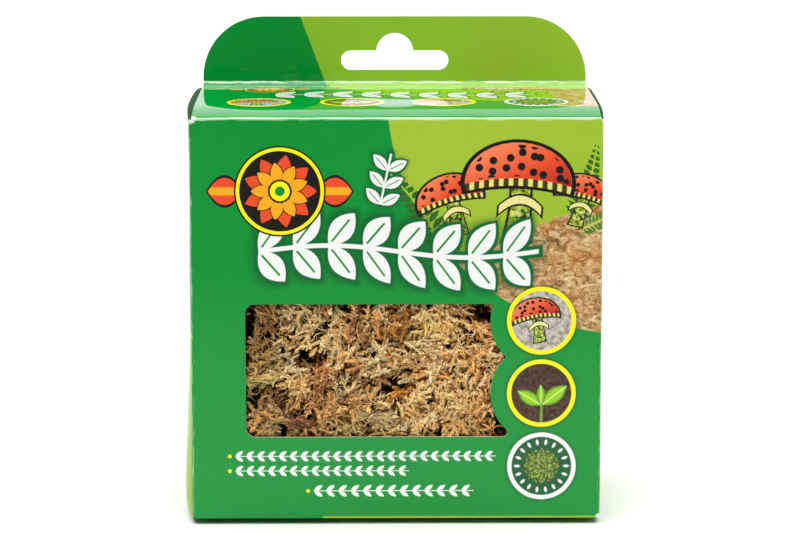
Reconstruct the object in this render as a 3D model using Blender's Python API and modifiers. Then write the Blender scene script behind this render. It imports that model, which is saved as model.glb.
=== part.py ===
"""A hanging window carton of dried sphagnum moss, standing on its base.

Metres, +Z up. The origin is the middle of the base, the window faces -Y and the hang tab rises at the back.
The carton is one folded sheet of board, split here at its creases into panels and flaps.
"""

import math
import random

import bmesh
import bpy
from mathutils import Vector, noise

# Driving dimensions of the carton
WIDTH = 0.1327
DEPTH = 0.0762
FRONT_HEIGHT = 0.1320
BOARD = 0.0005
CREASE_GAP = 0.0003

# The base sags in the middle, so the panels' lower edges stand clear of the surface under it
BASE_SAG = 0.0020
SAG_RIM = 0.016
FRONT_FOLD = BASE_SAG + FRONT_HEIGHT

# The top panel is level at the back and bends down to the front fold
TOP_RISE = 0.0021
TOP_BEND_LENGTH = 0.019
REAR_FOLD = FRONT_FOLD + TOP_RISE

# The side panels bow outwards: height above the base and the bow there
SIDE_BOW = ((0.002, 0.0018), (0.006, 0.0028), (0.015, 0.0029), (0.030, 0.0024), (0.060, 0.0018), (0.136, 0.0020))
# Over one, it draws the side panels' rows closer together near the base
ROW_SPREAD = 1.4

# Hang tab and its slot, heights above the rear fold
TAB_WIDTH = 0.1313
TAB_HEIGHT = 0.0234
TAB_CORNER_RADIUS = 0.0208
SLOT_LENGTH = 0.0369
SLOT_BOTTOM = 0.0050
SLOT_TOP = 0.0117
HUMP_RADIUS = 0.0063
HUMP_CENTRE = SLOT_TOP - 0.0003

# Window in the front panel, heights above the panel's lower edge, with two scallops out of its right side
WINDOW_LEFT = -0.0490
WINDOW_BOTTOM = 0.0273
WINDOW_TOP = 0.0713
WINDOW_CORNER_RADIUS = 0.0031
SCALLOP_RADIUS = 0.0166
SCALLOP_X = 0.0471
SCALLOP_UPPER = 0.0658
SCALLOP_LOWER = 0.0418
TIP_RADIUS_BOTTOM = 0.0015
TIP_RADIUS_MIDDLE = 0.0007
TIP_RADIUS_TOP = 0.0008

# Flaps
DUST_FLAP_LENGTH = 0.036
DUST_FLAP_TAPER = 0.006
INNER_FLAP_LENGTH = 0.056
GLUE_FLAP_WIDTH = 0.013
GLUE_FLAP_TAPER = 0.006
GLUE_FLAP_CLEARANCE = 0.004

# Moss: a pressed block, sunk in places, with strands lying on it
MOSS_LOW = Vector((-0.0645, -0.0364, 0.0048))
MOSS_HIGH = Vector((0.0645, 0.0356, 0.1312))
STRAND_RADIUS = 0.0012
STRAND_RISE = 0.0011
BLOCK_SINK = 0.0022
LUMP_DEPTH = 0.0028
LUMP_SIZE = 0.014
BLOCK_CELL = 0.003
VOXEL = 0.0009
MOSS_TRIANGLES = 8000
EDGE_ROUNDING = 0.007
STRAND_STEPS = 9
STRAND_LENGTH = (0.014, 0.034)
STRANDS_PER_FACE = {"-Y": 240, "+Y": 130, "-X": 90, "+X": 90, "+Z": 90, "-Z": 90}
# The faces kept when the skin is thinned lie mostly behind the window
KEEP_DEPTH = 0.009
KEEP_FADE = 0.006
KEEP_MOST = 0.9
KEEP_FACTOR = 0.6
# Dark hollows in the moss behind the window: x, height above the panel's lower edge, radius and depth
HOLLOWS = (
    (-0.0492, 0.0601, 0.0042, 0.0050),
    (-0.0492, 0.0373, 0.0042, 0.0050),
    (-0.0384, 0.0634, 0.0031, 0.0045),
    (-0.0415, 0.0430, 0.0046, 0.0050),
    (-0.0301, 0.0538, 0.0029, 0.0040),
    (-0.0332, 0.0321, 0.0042, 0.0040),
    (-0.0021, 0.0435, 0.0033, 0.0045),
    (0.0275, 0.0699, 0.0046, 0.0050),
    (0.0233, 0.0580, 0.0027, 0.0035),
    (0.0332, 0.0311, 0.0031, 0.0040),
)

INNER_X = WIDTH / 2 - BOARD
INNER_Y = DEPTH / 2 - BOARD
PLY_Y = INNER_Y - CREASE_GAP - BOARD / 2
ARC_STEPS = 8
BEND_CELLS = 12


def clear_scene():
    for old in list(bpy.data.objects):
        bpy.data.objects.remove(old)


def collection(name):
    made = bpy.data.collections.new(name)
    bpy.context.scene.collection.children.link(made)
    return made


def material(name, colour, roughness):
    made = bpy.data.materials.new(name)
    made.use_nodes = True
    shader = made.node_tree.nodes["Principled BSDF"]
    shader.inputs["Base Color"].default_value = (*colour, 1.0)
    shader.inputs["Roughness"].default_value = roughness
    shader.inputs["Metallic"].default_value = 0.0
    return made


def arc(centre, radius, start, end, steps=ARC_STEPS):
    """Points on an arc in the panel's plane, angles in degrees."""
    angles = [math.radians(start + (end - start) * i / steps) for i in range(steps + 1)]
    return [(centre[0] + radius * math.cos(a), centre[1] + radius * math.sin(a)) for a in angles]


def bearing(start, end):
    """Direction from one point to another, in degrees."""
    return math.degrees(math.atan2(end[1] - start[1], end[0] - start[0]))


def touching_x(scallop_z, tip_z, tip_radius):
    """Where a tip's centre lies across the panel so that its arc runs into the scallop's."""
    reach = SCALLOP_RADIUS + tip_radius
    return SCALLOP_X - math.sqrt(reach**2 - (scallop_z - tip_z) ** 2)


def window_outline():
    """The window's edge: round corners on the left, two scallops on the right, small round tips between them."""
    upper = (SCALLOP_X, SCALLOP_UPPER)
    lower = (SCALLOP_X, SCALLOP_LOWER)
    corner = WINDOW_CORNER_RADIUS
    low_z = WINDOW_BOTTOM + TIP_RADIUS_BOTTOM
    mid_z = (SCALLOP_UPPER + SCALLOP_LOWER) / 2
    top_z = WINDOW_TOP - TIP_RADIUS_TOP
    low_tip = (touching_x(SCALLOP_LOWER, low_z, TIP_RADIUS_BOTTOM), low_z)
    mid_tip = (touching_x(SCALLOP_UPPER, mid_z, TIP_RADIUS_MIDDLE), mid_z)
    top_tip = (touching_x(SCALLOP_UPPER, top_z, TIP_RADIUS_TOP), top_z)
    points = arc((WINDOW_LEFT + corner, WINDOW_BOTTOM + corner), corner, 180, 270)
    points += arc(low_tip, TIP_RADIUS_BOTTOM, -90, bearing(low_tip, lower))
    points += arc(lower, SCALLOP_RADIUS, bearing(lower, low_tip) + 360, bearing(lower, mid_tip))[1:-1]
    points += arc(mid_tip, TIP_RADIUS_MIDDLE, bearing(mid_tip, lower), bearing(mid_tip, upper))
    points += arc(upper, SCALLOP_RADIUS, bearing(upper, mid_tip) + 360, bearing(upper, top_tip))[1:-1]
    points += arc(top_tip, TIP_RADIUS_TOP, bearing(top_tip, upper), 90)
    points += arc((WINDOW_LEFT + corner, WINDOW_TOP - corner), corner, 90, 180)
    return points


def slot_outline(fold):
    """A hanging slot over a fold at the height given: a round-ended bar with a round hump on its top."""
    end_radius = (SLOT_TOP - SLOT_BOTTOM) / 2
    end_z = fold + SLOT_BOTTOM + end_radius
    end_x = SLOT_LENGTH / 2 - end_radius
    rise = math.degrees(math.asin((SLOT_TOP - HUMP_CENTRE) / HUMP_RADIUS))
    points = arc((end_x, end_z), end_radius, -90, 90)
    points += arc((0, fold + HUMP_CENTRE), HUMP_RADIUS, rise, 180 - rise, 12)
    points += arc((-end_x, end_z), end_radius, 90, 270)
    return points


def tab_top(fold):
    """The hang tab's rounded top edge over its fold, from right to left."""
    x = TAB_WIDTH / 2 - TAB_CORNER_RADIUS
    z = fold + TAB_HEIGHT - TAB_CORNER_RADIUS
    right = arc((x, z), TAB_CORNER_RADIUS, 0, 90, 12)
    left = arc((-x, z), TAB_CORNER_RADIUS, 90, 180, 12)
    return right + left


def rectangle(x0, x1, y0, y1):
    return [(x0, y0), (x1, y0), (x1, y1), (x0, y1)]


def sheet(name, outlines, paper, into):
    """A flat piece of board: outlines in its own plane, the first the edge and the others holes."""
    curve = bpy.data.curves.new(name, "CURVE")
    curve.dimensions = "2D"
    curve.fill_mode = "BOTH"
    curve.extrude = BOARD / 2
    for outline in outlines:
        spline = curve.splines.new("POLY")
        spline.points.add(len(outline) - 1)
        for point, (x, y) in zip(spline.points, outline):
            point.co = (x, y, 0, 1)
        spline.use_cyclic_u = True
    made = bpy.data.objects.new(name, curve)
    curve.materials.append(paper)
    into.objects.link(made)
    return made


def standing_sheet(name, outlines, y, paper, into):
    """A sheet across the carton with its middle plane at y, drawn from the panels' lower edge up."""
    made = sheet(name, outlines, paper, into)
    made.rotation_euler = (math.pi / 2, 0, 0)
    made.location = (0, y, BASE_SAG)
    return made


def bent_sheet(name, bm, inwards, paper, into):
    """A bent piece of board from its outer face, given its thickness along one direction."""
    bmesh.ops.triangulate(bm, faces=bm.faces[:])
    inner = bmesh.ops.extrude_face_region(bm, geom=bm.faces[:], use_keep_orig=True)["geom"]
    inner_verts = [part for part in inner if isinstance(part, bmesh.types.BMVert)]
    bmesh.ops.translate(bm, vec=inwards * BOARD, verts=inner_verts)
    bmesh.ops.recalc_face_normals(bm, faces=bm.faces[:])
    mesh = bpy.data.meshes.new(name)
    bm.to_mesh(mesh)
    bm.free()
    mesh.materials.append(paper)
    made = bpy.data.objects.new(name, mesh)
    into.objects.link(made)
    return made


def front_panel(paper, into):
    edge = rectangle(-WIDTH / 2, WIDTH / 2, 0, FRONT_HEIGHT)
    standing_sheet("front_panel", [edge, window_outline()], BOARD / 2 - DEPTH / 2, paper, into)


def back_panel(paper, into):
    """The back panel runs on upwards as the rear ply of the hang tab."""
    half = WIDTH / 2
    shoulder = TAB_WIDTH / 2
    fold = FRONT_HEIGHT + TOP_RISE
    edge = [(-half, 0), (half, 0), (half, fold), (shoulder, fold)]
    edge += tab_top(fold) + [(-shoulder, fold), (-half, fold)]
    standing_sheet("back_panel", [edge, slot_outline(fold)], DEPTH / 2 - BOARD / 2, paper, into)


def hang_tab(paper, into):
    """The front ply of the tab, folded up from the top panel and glued to the rear ply."""
    fold = FRONT_HEIGHT + TOP_RISE
    shoulder = TAB_WIDTH / 2
    edge = [(-shoulder, fold - BOARD), (shoulder, fold - BOARD)] + tab_top(fold)
    standing_sheet("hang_tab", [edge, slot_outline(fold)], PLY_Y, paper, into)


def side_bow(y, z):
    """How far a side panel stands out from its corner folds at a place on it."""
    across = min(max(0.5 + y / DEPTH, 0.0), 1.0)
    low_z, low_bow = SIDE_BOW[0]
    amount = low_bow
    for high_z, high_bow in SIDE_BOW[1:]:
        if z > low_z:
            part = min((z - low_z) / (high_z - low_z), 1.0)
            amount = low_bow + (high_bow - low_bow) * part
        low_z, low_bow = high_z, high_bow
    return amount * 4 * across * (1 - across)


def top_height(y):
    """Height of the top panel's outer face, from the rear fold forwards."""
    bend_start = TOP_BEND_LENGTH - DEPTH / 2
    past = max(bend_start - y, 0) / TOP_BEND_LENGTH
    return REAR_FOLD - TOP_RISE * past**2


def side_panels(paper, into):
    """Each side panel bows outwards between its corner folds and reaches up to the bent top panel."""
    half = INNER_Y - CREASE_GAP
    for name, side in (("left_side_panel", -1), ("right_side_panel", 1)):
        bm = bmesh.new()
        bmesh.ops.create_grid(bm, x_segments=BEND_CELLS, y_segments=BEND_CELLS, size=0.5)
        for vert in bm.verts:
            y = side * vert.co.x * 2 * half
            top = top_height(y) - BOARD - CREASE_GAP
            z = BASE_SAG + max(vert.co.y + 0.5, 0.0) ** ROW_SPREAD * (top - BASE_SAG)
            vert.co = (side * (WIDTH / 2 + side_bow(y, z)), y, z)
        bent_sheet(name, bm, Vector((-side, 0, 0)), paper, into)


def top_panel(paper, into):
    """Level from the tab forwards, then bending down to the front fold."""
    front = CREASE_GAP - INNER_Y
    rear = PLY_Y - BOARD / 2 - CREASE_GAP
    bm = bmesh.new()
    bmesh.ops.create_grid(bm, x_segments=BEND_CELLS, y_segments=2 * BEND_CELLS, size=0.5)
    for vert in bm.verts:
        y = front + (vert.co.y + 0.5) * (rear - front)
        vert.co = (vert.co.x * TAB_WIDTH, y, top_height(y))
    bent_sheet("top_panel", bm, Vector((0, 0, -1)), paper, into)


def dust_flap_outline(side, z):
    """A flap hinged along a side panel's bowed edge at a height, tapered towards its free end."""
    front = CREASE_GAP - INNER_Y
    rear = PLY_Y - BOARD / 2 - CREASE_GAP
    free = side * (INNER_X - CREASE_GAP - DUST_FLAP_LENGTH)
    outline = [(free, front + DUST_FLAP_TAPER), (free, rear - DUST_FLAP_TAPER)]
    for i in range(ARC_STEPS + 1):
        y = rear + (front - rear) * i / ARC_STEPS
        outline.append((side * (INNER_X - CREASE_GAP + 0.9 * side_bow(y, z)), y))
    return outline[::-1] if side > 0 else outline


def top_dust_flaps(paper, into):
    z = FRONT_FOLD - BOARD - CREASE_GAP - BOARD / 2
    for name, side in (("top_dust_flap_left", -1), ("top_dust_flap_right", 1)):
        made = sheet(name, [dust_flap_outline(side, z)], paper, into)
        made.location = (0, 0, z)


def sag_rise(x, y):
    """How far a flap of the base is lifted over its sagging middle, up to the sag at the carton's edge."""
    past_x = (abs(x) - WIDTH / 2 + SAG_RIM) / SAG_RIM
    past_y = (abs(y) - DEPTH / 2 + SAG_RIM) / SAG_RIM
    return BASE_SAG * max(past_x, past_y, 0)


def sagging_sheet(name, outline, z, paper, into):
    """A flap of the base whose lower face is at z in the middle, level there and sloping up to its edges."""
    bm = bmesh.new()
    bm.faces.new([bm.verts.new((x, y, 0)) for x, y in outline])
    bend_x = WIDTH / 2 - SAG_RIM
    bend_y = DEPTH / 2 - SAG_RIM
    folds = [((side * bend_x, 0, 0), (1, 0, 0)) for side in (-1, 1)]
    folds += [((0, side * bend_y, 0), (0, 1, 0)) for side in (-1, 1)]
    folds += [((sx * bend_x, sy * bend_y, 0), (sy, -sx, 0)) for sx in (-1, 1) for sy in (-1, 1)]
    for place, normal in folds:
        geometry = bm.verts[:] + bm.edges[:] + bm.faces[:]
        bmesh.ops.bisect_plane(bm, geom=geometry, plane_co=place, plane_no=normal)
    for vert in bm.verts:
        vert.co.z = z + sag_rise(vert.co.x, vert.co.y)
    bent_sheet(name, bm, Vector((0, 0, 1)), paper, into)


def bottom_flaps(plain, printed, into):
    """Dust flaps inside, then the inner flap and the outer flap that the carton stands on."""
    half = INNER_X - CREASE_GAP
    front = CREASE_GAP - INNER_Y
    step = BOARD + CREASE_GAP
    sagging_sheet("bottom_outer_flap", rectangle(-half, half, front, -front), 0, printed, into)
    inner = rectangle(-half, half, front, front + INNER_FLAP_LENGTH)
    sagging_sheet("bottom_inner_flap", inner, step, printed, into)
    for name, side in (("bottom_dust_flap_left", -1), ("bottom_dust_flap_right", 1)):
        sagging_sheet(name, dust_flap_outline(side, BASE_SAG), 2 * step, plain, into)


def glue_flap(paper, into):
    """The seam inside the back left corner that joins the sheet into a sleeve."""
    hinge = CREASE_GAP - INNER_X
    free = hinge + GLUE_FLAP_WIDTH
    low = GLUE_FLAP_CLEARANCE
    high = FRONT_HEIGHT - GLUE_FLAP_CLEARANCE
    edge = [(hinge, low), (free, low + GLUE_FLAP_TAPER), (free, high - GLUE_FLAP_TAPER), (hinge, high)]
    standing_sheet("glue_flap", [edge], PLY_Y, paper, into)


def hollow_depth(x, z):
    """How far the moss behind the window is sunk at a point, by the hollows that reach it."""
    deepest = 0.0
    for hollow_x, hollow_z, radius, depth in HOLLOWS:
        distance = math.hypot(x - hollow_x, z - BASE_SAG - hollow_z) / radius
        deepest = max(deepest, depth * math.exp(-distance * distance))
    return deepest


def lump_depth(point):
    """A soft lumpy sink below the block's faces, between nothing and LUMP_DEPTH."""
    wide = noise.noise(point / LUMP_SIZE)
    fine = noise.noise(point / (LUMP_SIZE / 2.6) + Vector((7.0, 3.0, 5.0)))
    return LUMP_DEPTH * min(1.0, max(0.0, 0.5 + 0.62 * wide + 0.3 * fine))


def block_bounds():
    """The box that the strands' middle lines lie on, smaller than the clump by what the strands add."""
    margin = Vector((1, 1, 1)) * (STRAND_RADIUS + STRAND_RISE)
    return MOSS_LOW + margin, MOSS_HIGH - margin


def rounded(point):
    """Pulls a point of the block's skin in at the edges and corners of the block."""
    low, high = block_bounds()
    round_by = Vector((1, 1, 1)) * EDGE_ROUNDING
    inner_low = low + round_by
    inner_high = high - round_by
    core = Vector([min(max(c, a), b) for c, a, b in zip(point, inner_low, inner_high)])
    out = point - core
    if out.length > EDGE_ROUNDING:
        out = out.normalized() * EDGE_ROUNDING
    return core + out


def sunk(point, normal):
    """A point of the block's skin, moved in by the lumps and, at the front, by the hollows."""
    depth = lump_depth(point)
    if normal.y < -0.5:
        depth += hollow_depth(point.x, point.z)
    return rounded(point) - normal * depth


def moss_block():
    """The pressed block as a bmesh, with a fine grid on each face."""
    low, high = block_bounds()
    size = high - low
    bm = bmesh.new()
    bmesh.ops.create_cube(bm, size=1)
    bmesh.ops.scale(bm, vec=size, verts=bm.verts)
    bmesh.ops.translate(bm, vec=(low + high) / 2, verts=bm.verts)
    for axis in range(3):
        place = Vector((0, 0, 0))
        normal = Vector((0, 0, 0))
        normal[axis] = 1
        count = round(size[axis] / BLOCK_CELL)
        for i in range(1, count):
            place[axis] = low[axis] + size[axis] * i / count
            geometry = bm.verts[:] + bm.edges[:] + bm.faces[:]
            bmesh.ops.bisect_plane(bm, geom=geometry, plane_co=place, plane_no=normal)
    bm.normal_update()
    moved = [(v, sunk(v.co.copy(), v.normal.copy()) - v.normal * BLOCK_SINK) for v in bm.verts]
    for vert, place in moved:
        vert.co = place
    return bm


def face_frame(face):
    """The middle, two directions, outward normal and half sizes of one face of the block."""
    low, high = block_bounds()
    axis = "XYZ".index(face[1])
    across = [i for i in range(3) if i != axis]
    normal = Vector((0, 0, 0))
    normal[axis] = 1 if face[0] == "+" else -1
    middle = (low + high) / 2
    middle[axis] = high[axis] if face[0] == "+" else low[axis]
    directions = []
    for i in across:
        along = Vector((0, 0, 0))
        along[i] = 1
        directions.append(along)
    halves = [(high[i] - low[i]) / 2 for i in across]
    return middle, directions, normal, halves


def strand_points(rng, face):
    """A strand that wanders over one face of the block, rising and dipping as it goes."""
    middle, (along, across), normal, (half_u, half_v) = face_frame(face)
    length = rng.uniform(*STRAND_LENGTH)
    u = rng.uniform(-half_u, half_u)
    v = rng.uniform(-half_v, half_v)
    heading = rng.uniform(0, 2 * math.pi)
    turn = rng.uniform(-0.45, 0.45)
    phase = rng.uniform(0, 2 * math.pi)
    points = []
    for i in range(STRAND_STEPS):
        inside_u = min(max(u, -half_u), half_u)
        inside_v = min(max(v, -half_v), half_v)
        skin = middle + along * inside_u + across * inside_v
        rise = STRAND_RISE * math.sin(phase + i * 1.1)
        points.append(sunk(skin, normal) + normal * rise)
        heading += turn + rng.uniform(-0.25, 0.25)
        u += math.cos(heading) * length / STRAND_STEPS
        v += math.sin(heading) * length / STRAND_STEPS
    return points


def evaluated_mesh(made, name):
    """A plain mesh of an object as its modifiers or its bevel leave it."""
    bpy.context.view_layer.update()
    graph = bpy.context.evaluated_depsgraph_get()
    mesh = bpy.data.meshes.new_from_object(made.evaluated_get(graph))
    mesh.name = name
    return mesh


def strand_mesh(points):
    """A tube along the points, thin at its ends, with its caps closed."""
    curve = bpy.data.curves.new("strand", "CURVE")
    curve.dimensions = "3D"
    curve.bevel_depth = STRAND_RADIUS
    curve.bevel_resolution = 1
    curve.use_fill_caps = True
    spline = curve.splines.new("POLY")
    spline.points.add(len(points) - 1)
    for i, (point, place) in enumerate(zip(spline.points, points)):
        point.co = (*place, 1)
        point.radius = 0.35 + 0.65 * math.sin(math.pi * (i + 0.5) / len(points))
    holder = bpy.data.objects.new("strand", curve)
    bpy.context.scene.collection.objects.link(holder)
    mesh = evaluated_mesh(holder, "strand")
    bpy.data.objects.remove(holder)
    bpy.data.curves.remove(curve)
    return mesh


def fused_strands(into):
    """The strands and the block fused into one closed skin."""
    rng = random.Random(11)
    bm = moss_block()
    for face, count in STRANDS_PER_FACE.items():
        for _ in range(count):
            mesh = strand_mesh(strand_points(rng, face))
            bm.from_mesh(mesh)
            bpy.data.meshes.remove(mesh)
    bmesh.ops.remove_doubles(bm, verts=bm.verts, dist=1e-6)
    loose = bpy.data.meshes.new("loose_strands")
    bm.to_mesh(loose)
    bm.free()
    holder = bpy.data.objects.new("loose_strands", loose)
    into.objects.link(holder)
    fuse = holder.modifiers.new("fuse", "REMESH")
    fuse.mode = "VOXEL"
    fuse.voxel_size = VOXEL
    soften = holder.modifiers.new("soften", "SMOOTH")
    soften.factor = 0.5
    soften.iterations = 3
    fused = evaluated_mesh(holder, "moss_clump")
    bpy.data.objects.remove(holder)
    bpy.data.meshes.remove(loose)
    return fused


def keep_weight(point):
    """Highest behind the window, where the most faces are kept, and nothing a little beyond its edges."""
    height = point.z - BASE_SAG
    beyond_x = max(WINDOW_LEFT - point.x, point.x - SCALLOP_X + SCALLOP_RADIUS / 2, 0)
    beyond_z = max(WINDOW_BOTTOM - height, height - WINDOW_TOP, 0)
    beyond_y = max(point.y - MOSS_LOW.y - KEEP_DEPTH, 0)
    return KEEP_MOST * max(0.0, 1 - (beyond_x + beyond_z + beyond_y) / KEEP_FADE)


def moss_clump(moss, into):
    """The fused skin, thinned most where the carton hides it."""
    mesh = fused_strands(into)
    mesh.materials.clear()
    mesh.materials.append(moss)
    clump = bpy.data.objects.new("moss_clump", mesh)
    into.objects.link(clump)
    kept = clump.vertex_groups.new(name="behind_window")
    for vert in mesh.vertices:
        kept.add([vert.index], keep_weight(vert.co), "REPLACE")
    triangles = sum(len(p.vertices) - 2 for p in mesh.polygons)
    thin = clump.modifiers.new("thin", "DECIMATE")
    thin.ratio = MOSS_TRIANGLES / triangles
    thin.use_collapse_triangulate = True
    thin.vertex_group = kept.name
    thin.invert_vertex_group = True
    thin.vertex_group_factor = KEEP_FACTOR


def main():
    clear_scene()
    carton = collection("moss_carton")
    green = material("printed_green_board", (0.0, 0.28, 0.06), 0.28)
    lime = material("printed_lime_board", (0.34, 0.50, 0.05), 0.28)
    plain = material("plain_board_inside", (0.62, 0.60, 0.52), 0.75)
    moss = material("dried_moss", (0.47, 0.33, 0.17), 0.9)
    front_panel(green, carton)
    back_panel(green, carton)
    side_panels(lime, carton)
    top_panel(green, carton)
    hang_tab(lime, carton)
    top_dust_flaps(plain, carton)
    bottom_flaps(plain, green, carton)
    glue_flap(plain, carton)
    moss_clump(moss, carton)


main()
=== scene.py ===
"""A hanging window carton of dried sphagnum moss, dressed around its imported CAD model.

Metres, +Z up. The window faces -Y and the origin is the middle of the base. The board is cut flat as a blank,
printed in the blank's own coordinates and folded into the place of the CAD panels. The moss is made of leafy
strands and loose fibres, pressed against the window.
"""

import math
import random

import bmesh
import bpy
from mathutils import Matrix, Vector, noise


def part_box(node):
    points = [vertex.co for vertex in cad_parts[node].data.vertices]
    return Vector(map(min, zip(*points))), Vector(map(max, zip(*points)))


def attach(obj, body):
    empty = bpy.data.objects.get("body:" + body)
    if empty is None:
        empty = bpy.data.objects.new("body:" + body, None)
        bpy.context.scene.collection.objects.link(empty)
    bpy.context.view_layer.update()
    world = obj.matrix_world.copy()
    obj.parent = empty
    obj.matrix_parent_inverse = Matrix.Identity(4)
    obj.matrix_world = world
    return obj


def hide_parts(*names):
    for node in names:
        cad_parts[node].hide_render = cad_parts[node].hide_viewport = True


bl_info = {
    "name": "Windowed moss carton",
    "version": (1, 0, 0),
    "blender": (4, 5, 0),
    "location": "3D View > Sidebar > Carton",
    "description": "Dresses a packed carton of dried sphagnum moss with folded board, print and moss strands",
    "category": "Object",
}

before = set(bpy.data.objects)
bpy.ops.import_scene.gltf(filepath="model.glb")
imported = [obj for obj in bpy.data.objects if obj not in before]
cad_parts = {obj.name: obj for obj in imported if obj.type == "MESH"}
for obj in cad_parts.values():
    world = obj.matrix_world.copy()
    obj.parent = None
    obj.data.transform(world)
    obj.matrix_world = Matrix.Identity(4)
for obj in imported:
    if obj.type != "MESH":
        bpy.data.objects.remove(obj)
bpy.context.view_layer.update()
FRONT_LOW, FRONT_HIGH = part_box("front_panel")
TAB_LOW, TAB_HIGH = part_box("hang_tab")
MOSS_LOW, MOSS_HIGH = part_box("moss_clump")

# The carton's sizes, from the CAD nodes
WIDTH = FRONT_HIGH.x - FRONT_LOW.x
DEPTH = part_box("back_panel")[1].y - FRONT_LOW.y
BOARD = FRONT_HIGH.y - FRONT_LOW.y
INNER_FACE = FRONT_LOW.y + BOARD
BASE_SAG = FRONT_LOW.z
FRONT_FOLD = FRONT_HIGH.z
FRONT_HEIGHT = FRONT_FOLD - BASE_SAG
REAR_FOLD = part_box("top_panel")[1].z
TAB_WIDTH = TAB_HIGH.x - TAB_LOW.x
TAB_TOP = TAB_HIGH.z
TAB_FACE = TAB_LOW.y
HALF_WIDTH = WIDTH / 2
HALF_DEPTH = DEPTH / 2

# Shapes that the CAD's boxes don't give
SAG_RIM = 0.016
TOP_BEND_LENGTH = 0.019
SIDE_DROP = 0.0007
SIDE_DROP_FADE = 0.03
SCORE_DIP = 0.0007
DIP_START = 0.0136
DIP_LENGTH = 0.012
DUST_FLAP_DROP = 0.0012
SCORE_ROUND_LOW = 0.0005
SCORE_ROUND_HIGH = 0.0004
DUST_FLAP_TOP = FRONT_FOLD - DUST_FLAP_DROP
# The flaps of the base: how high the outer faces lie, and the lengths over which flaps reach their levels
INNER_FLAP_LIFT = 0.0008
DUST_FLAP_LIFT = 0.0016
FLAP_BLEND = 0.003
DUST_FLAP_BLEND = 0.004
# Places in the flat board: cut edges above the lower creases and below the side's upper one, how far a dust
# flap's hinge is set in, and how far below its crease the ink's bleed starts, which is darkened as painted
# shade
WIDE_WALL_EDGE = 0.0004
SIDE_WALL_LOW_EDGE = 0.0012
SIDE_WALL_TOP_EDGE = 0.0010
HINGE_INSET = 0.0006
BLEED_AND_SHADE_START = 0.0006
# How far the side panels bow outwards: height above the base and the bow there
LEFT_BOW = (
    (0.002, 0.0034),
    (0.0035, 0.0042),
    (0.008, 0.0043),
    (0.015, 0.0042),
    (0.028, 0.0035),
    (0.042, 0.0028),
    (0.060, 0.0022),
    (0.080, 0.0018),
    (0.108, 0.0014),
    (0.136, 0.0020),
)
RIGHT_BOW = ((0.002, 0.0010), (0.015, 0.0014), (0.108, 0.0013), (0.136, 0.0009))
SIDE_FULLNESS = 0.65
RIPPLE_SIZE = 0.034
TAB_CORNER_RADIUS = 0.0208
SLOT_LENGTH = 0.0369
SLOT_BOTTOM = 0.0050
SLOT_TOP = 0.0117
HUMP_RADIUS = 0.0063
HUMP_CENTRE = SLOT_TOP - 0.0003
WINDOW_LEFT = -0.0490
WINDOW_BOTTOM = 0.0273
WINDOW_TOP = 0.0713
WINDOW_CORNER_RADIUS = 0.0031
SCALLOP_RADIUS = 0.0166
SCALLOP_X = 0.0471
SCALLOP_UPPER = 0.0658
SCALLOP_LOWER = 0.0418
TIP_RADIUS_BOTTOM = 0.0015
TIP_RADIUS_MIDDLE = 0.0007
TIP_RADIUS_TOP = 0.0008
DUST_FLAP_LENGTH = 0.036
DUST_FLAP_TAPER = 0.006
CLOSING_FLAP_TAPER = 0.001
GLUE_FLAP_TAPER = 0.006
INNER_FLAP_LENGTH = 0.0555
OUTER_FLAP_LENGTH = 0.0745

# The side panels' height in the flat board, before it is stretched up to the top panel
SIDE_HEIGHT = FRONT_HEIGHT - SIDE_DROP

# The top panel's length along the strip that runs over the front, the top and the tab
TOP_LENGTH = TAB_FACE + HALF_DEPTH

# Cells of the flat board, where they differ from the setting
BEND_CELL = 0.002
SIDE_CELL = 0.004
FLAP_CELL = 0.01
BROAD_FLAP_CELL = 0.012
GLUE_FLAP_CELL = 0.02

# Flat coordinates are kept in the UV map as tenths of a metre, and the prints use millimetres
UV_UNIT = 0.1
MM = 1000
FOLD_MM = FRONT_HEIGHT * MM
HALF_WIDTH_MM = HALF_WIDTH * MM
SIDE_MIDDLE_MM = (HALF_WIDTH + HALF_DEPTH) * MM


def screen(red, green, blue):
    """A screen colour from 0 to 255 as the linear colour that a shader wants."""
    values = []
    for value in (red, green, blue):
        part = value / 255
        values.append(part / 12.92 if part <= 0.04045 else ((part + 0.055) / 1.055) ** 2.4)
    return tuple(values)


def float_property(name, description, default, unit, precision=2):
    return bpy.props.FloatProperty(
        name=name, description=description, default=default, unit=unit, precision=precision
    )


def length_property(name, description, default):
    return float_property(name, description, default, "LENGTH", 5)


def count_property(name, description, default, least):
    return bpy.props.IntProperty(name=name, description=description, default=default, min=least)


def colour_property(name, description, default):
    return bpy.props.FloatVectorProperty(
        name=name, description=description, default=default, subtype="COLOR", size=3, min=0.0, max=1.0
    )


class CartonBoardSizes(bpy.types.PropertyGroup):
    """Sizes of the folded board that a user may change."""

    corner_round: length_property("Corner rounding", "Reach of the rounding at the upright creases", 0.00035)
    fold_round: length_property("Fold rounding", "Reach of the rounding at the front's upper fold", 0.0005)
    base_round: length_property("Base rounding", "Reach of the rounding at the lower creases", 0.0003)
    score_step: length_property("Score step", "Rise of the double score at the foot of the hang tab", 0.0016)
    cell: length_property("Cell size", "Size of the cells that the flat board is divided into", 0.006)
    wave: length_property("Waviness", "How far the panels stand off a true plane", 0.00007)


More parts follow.
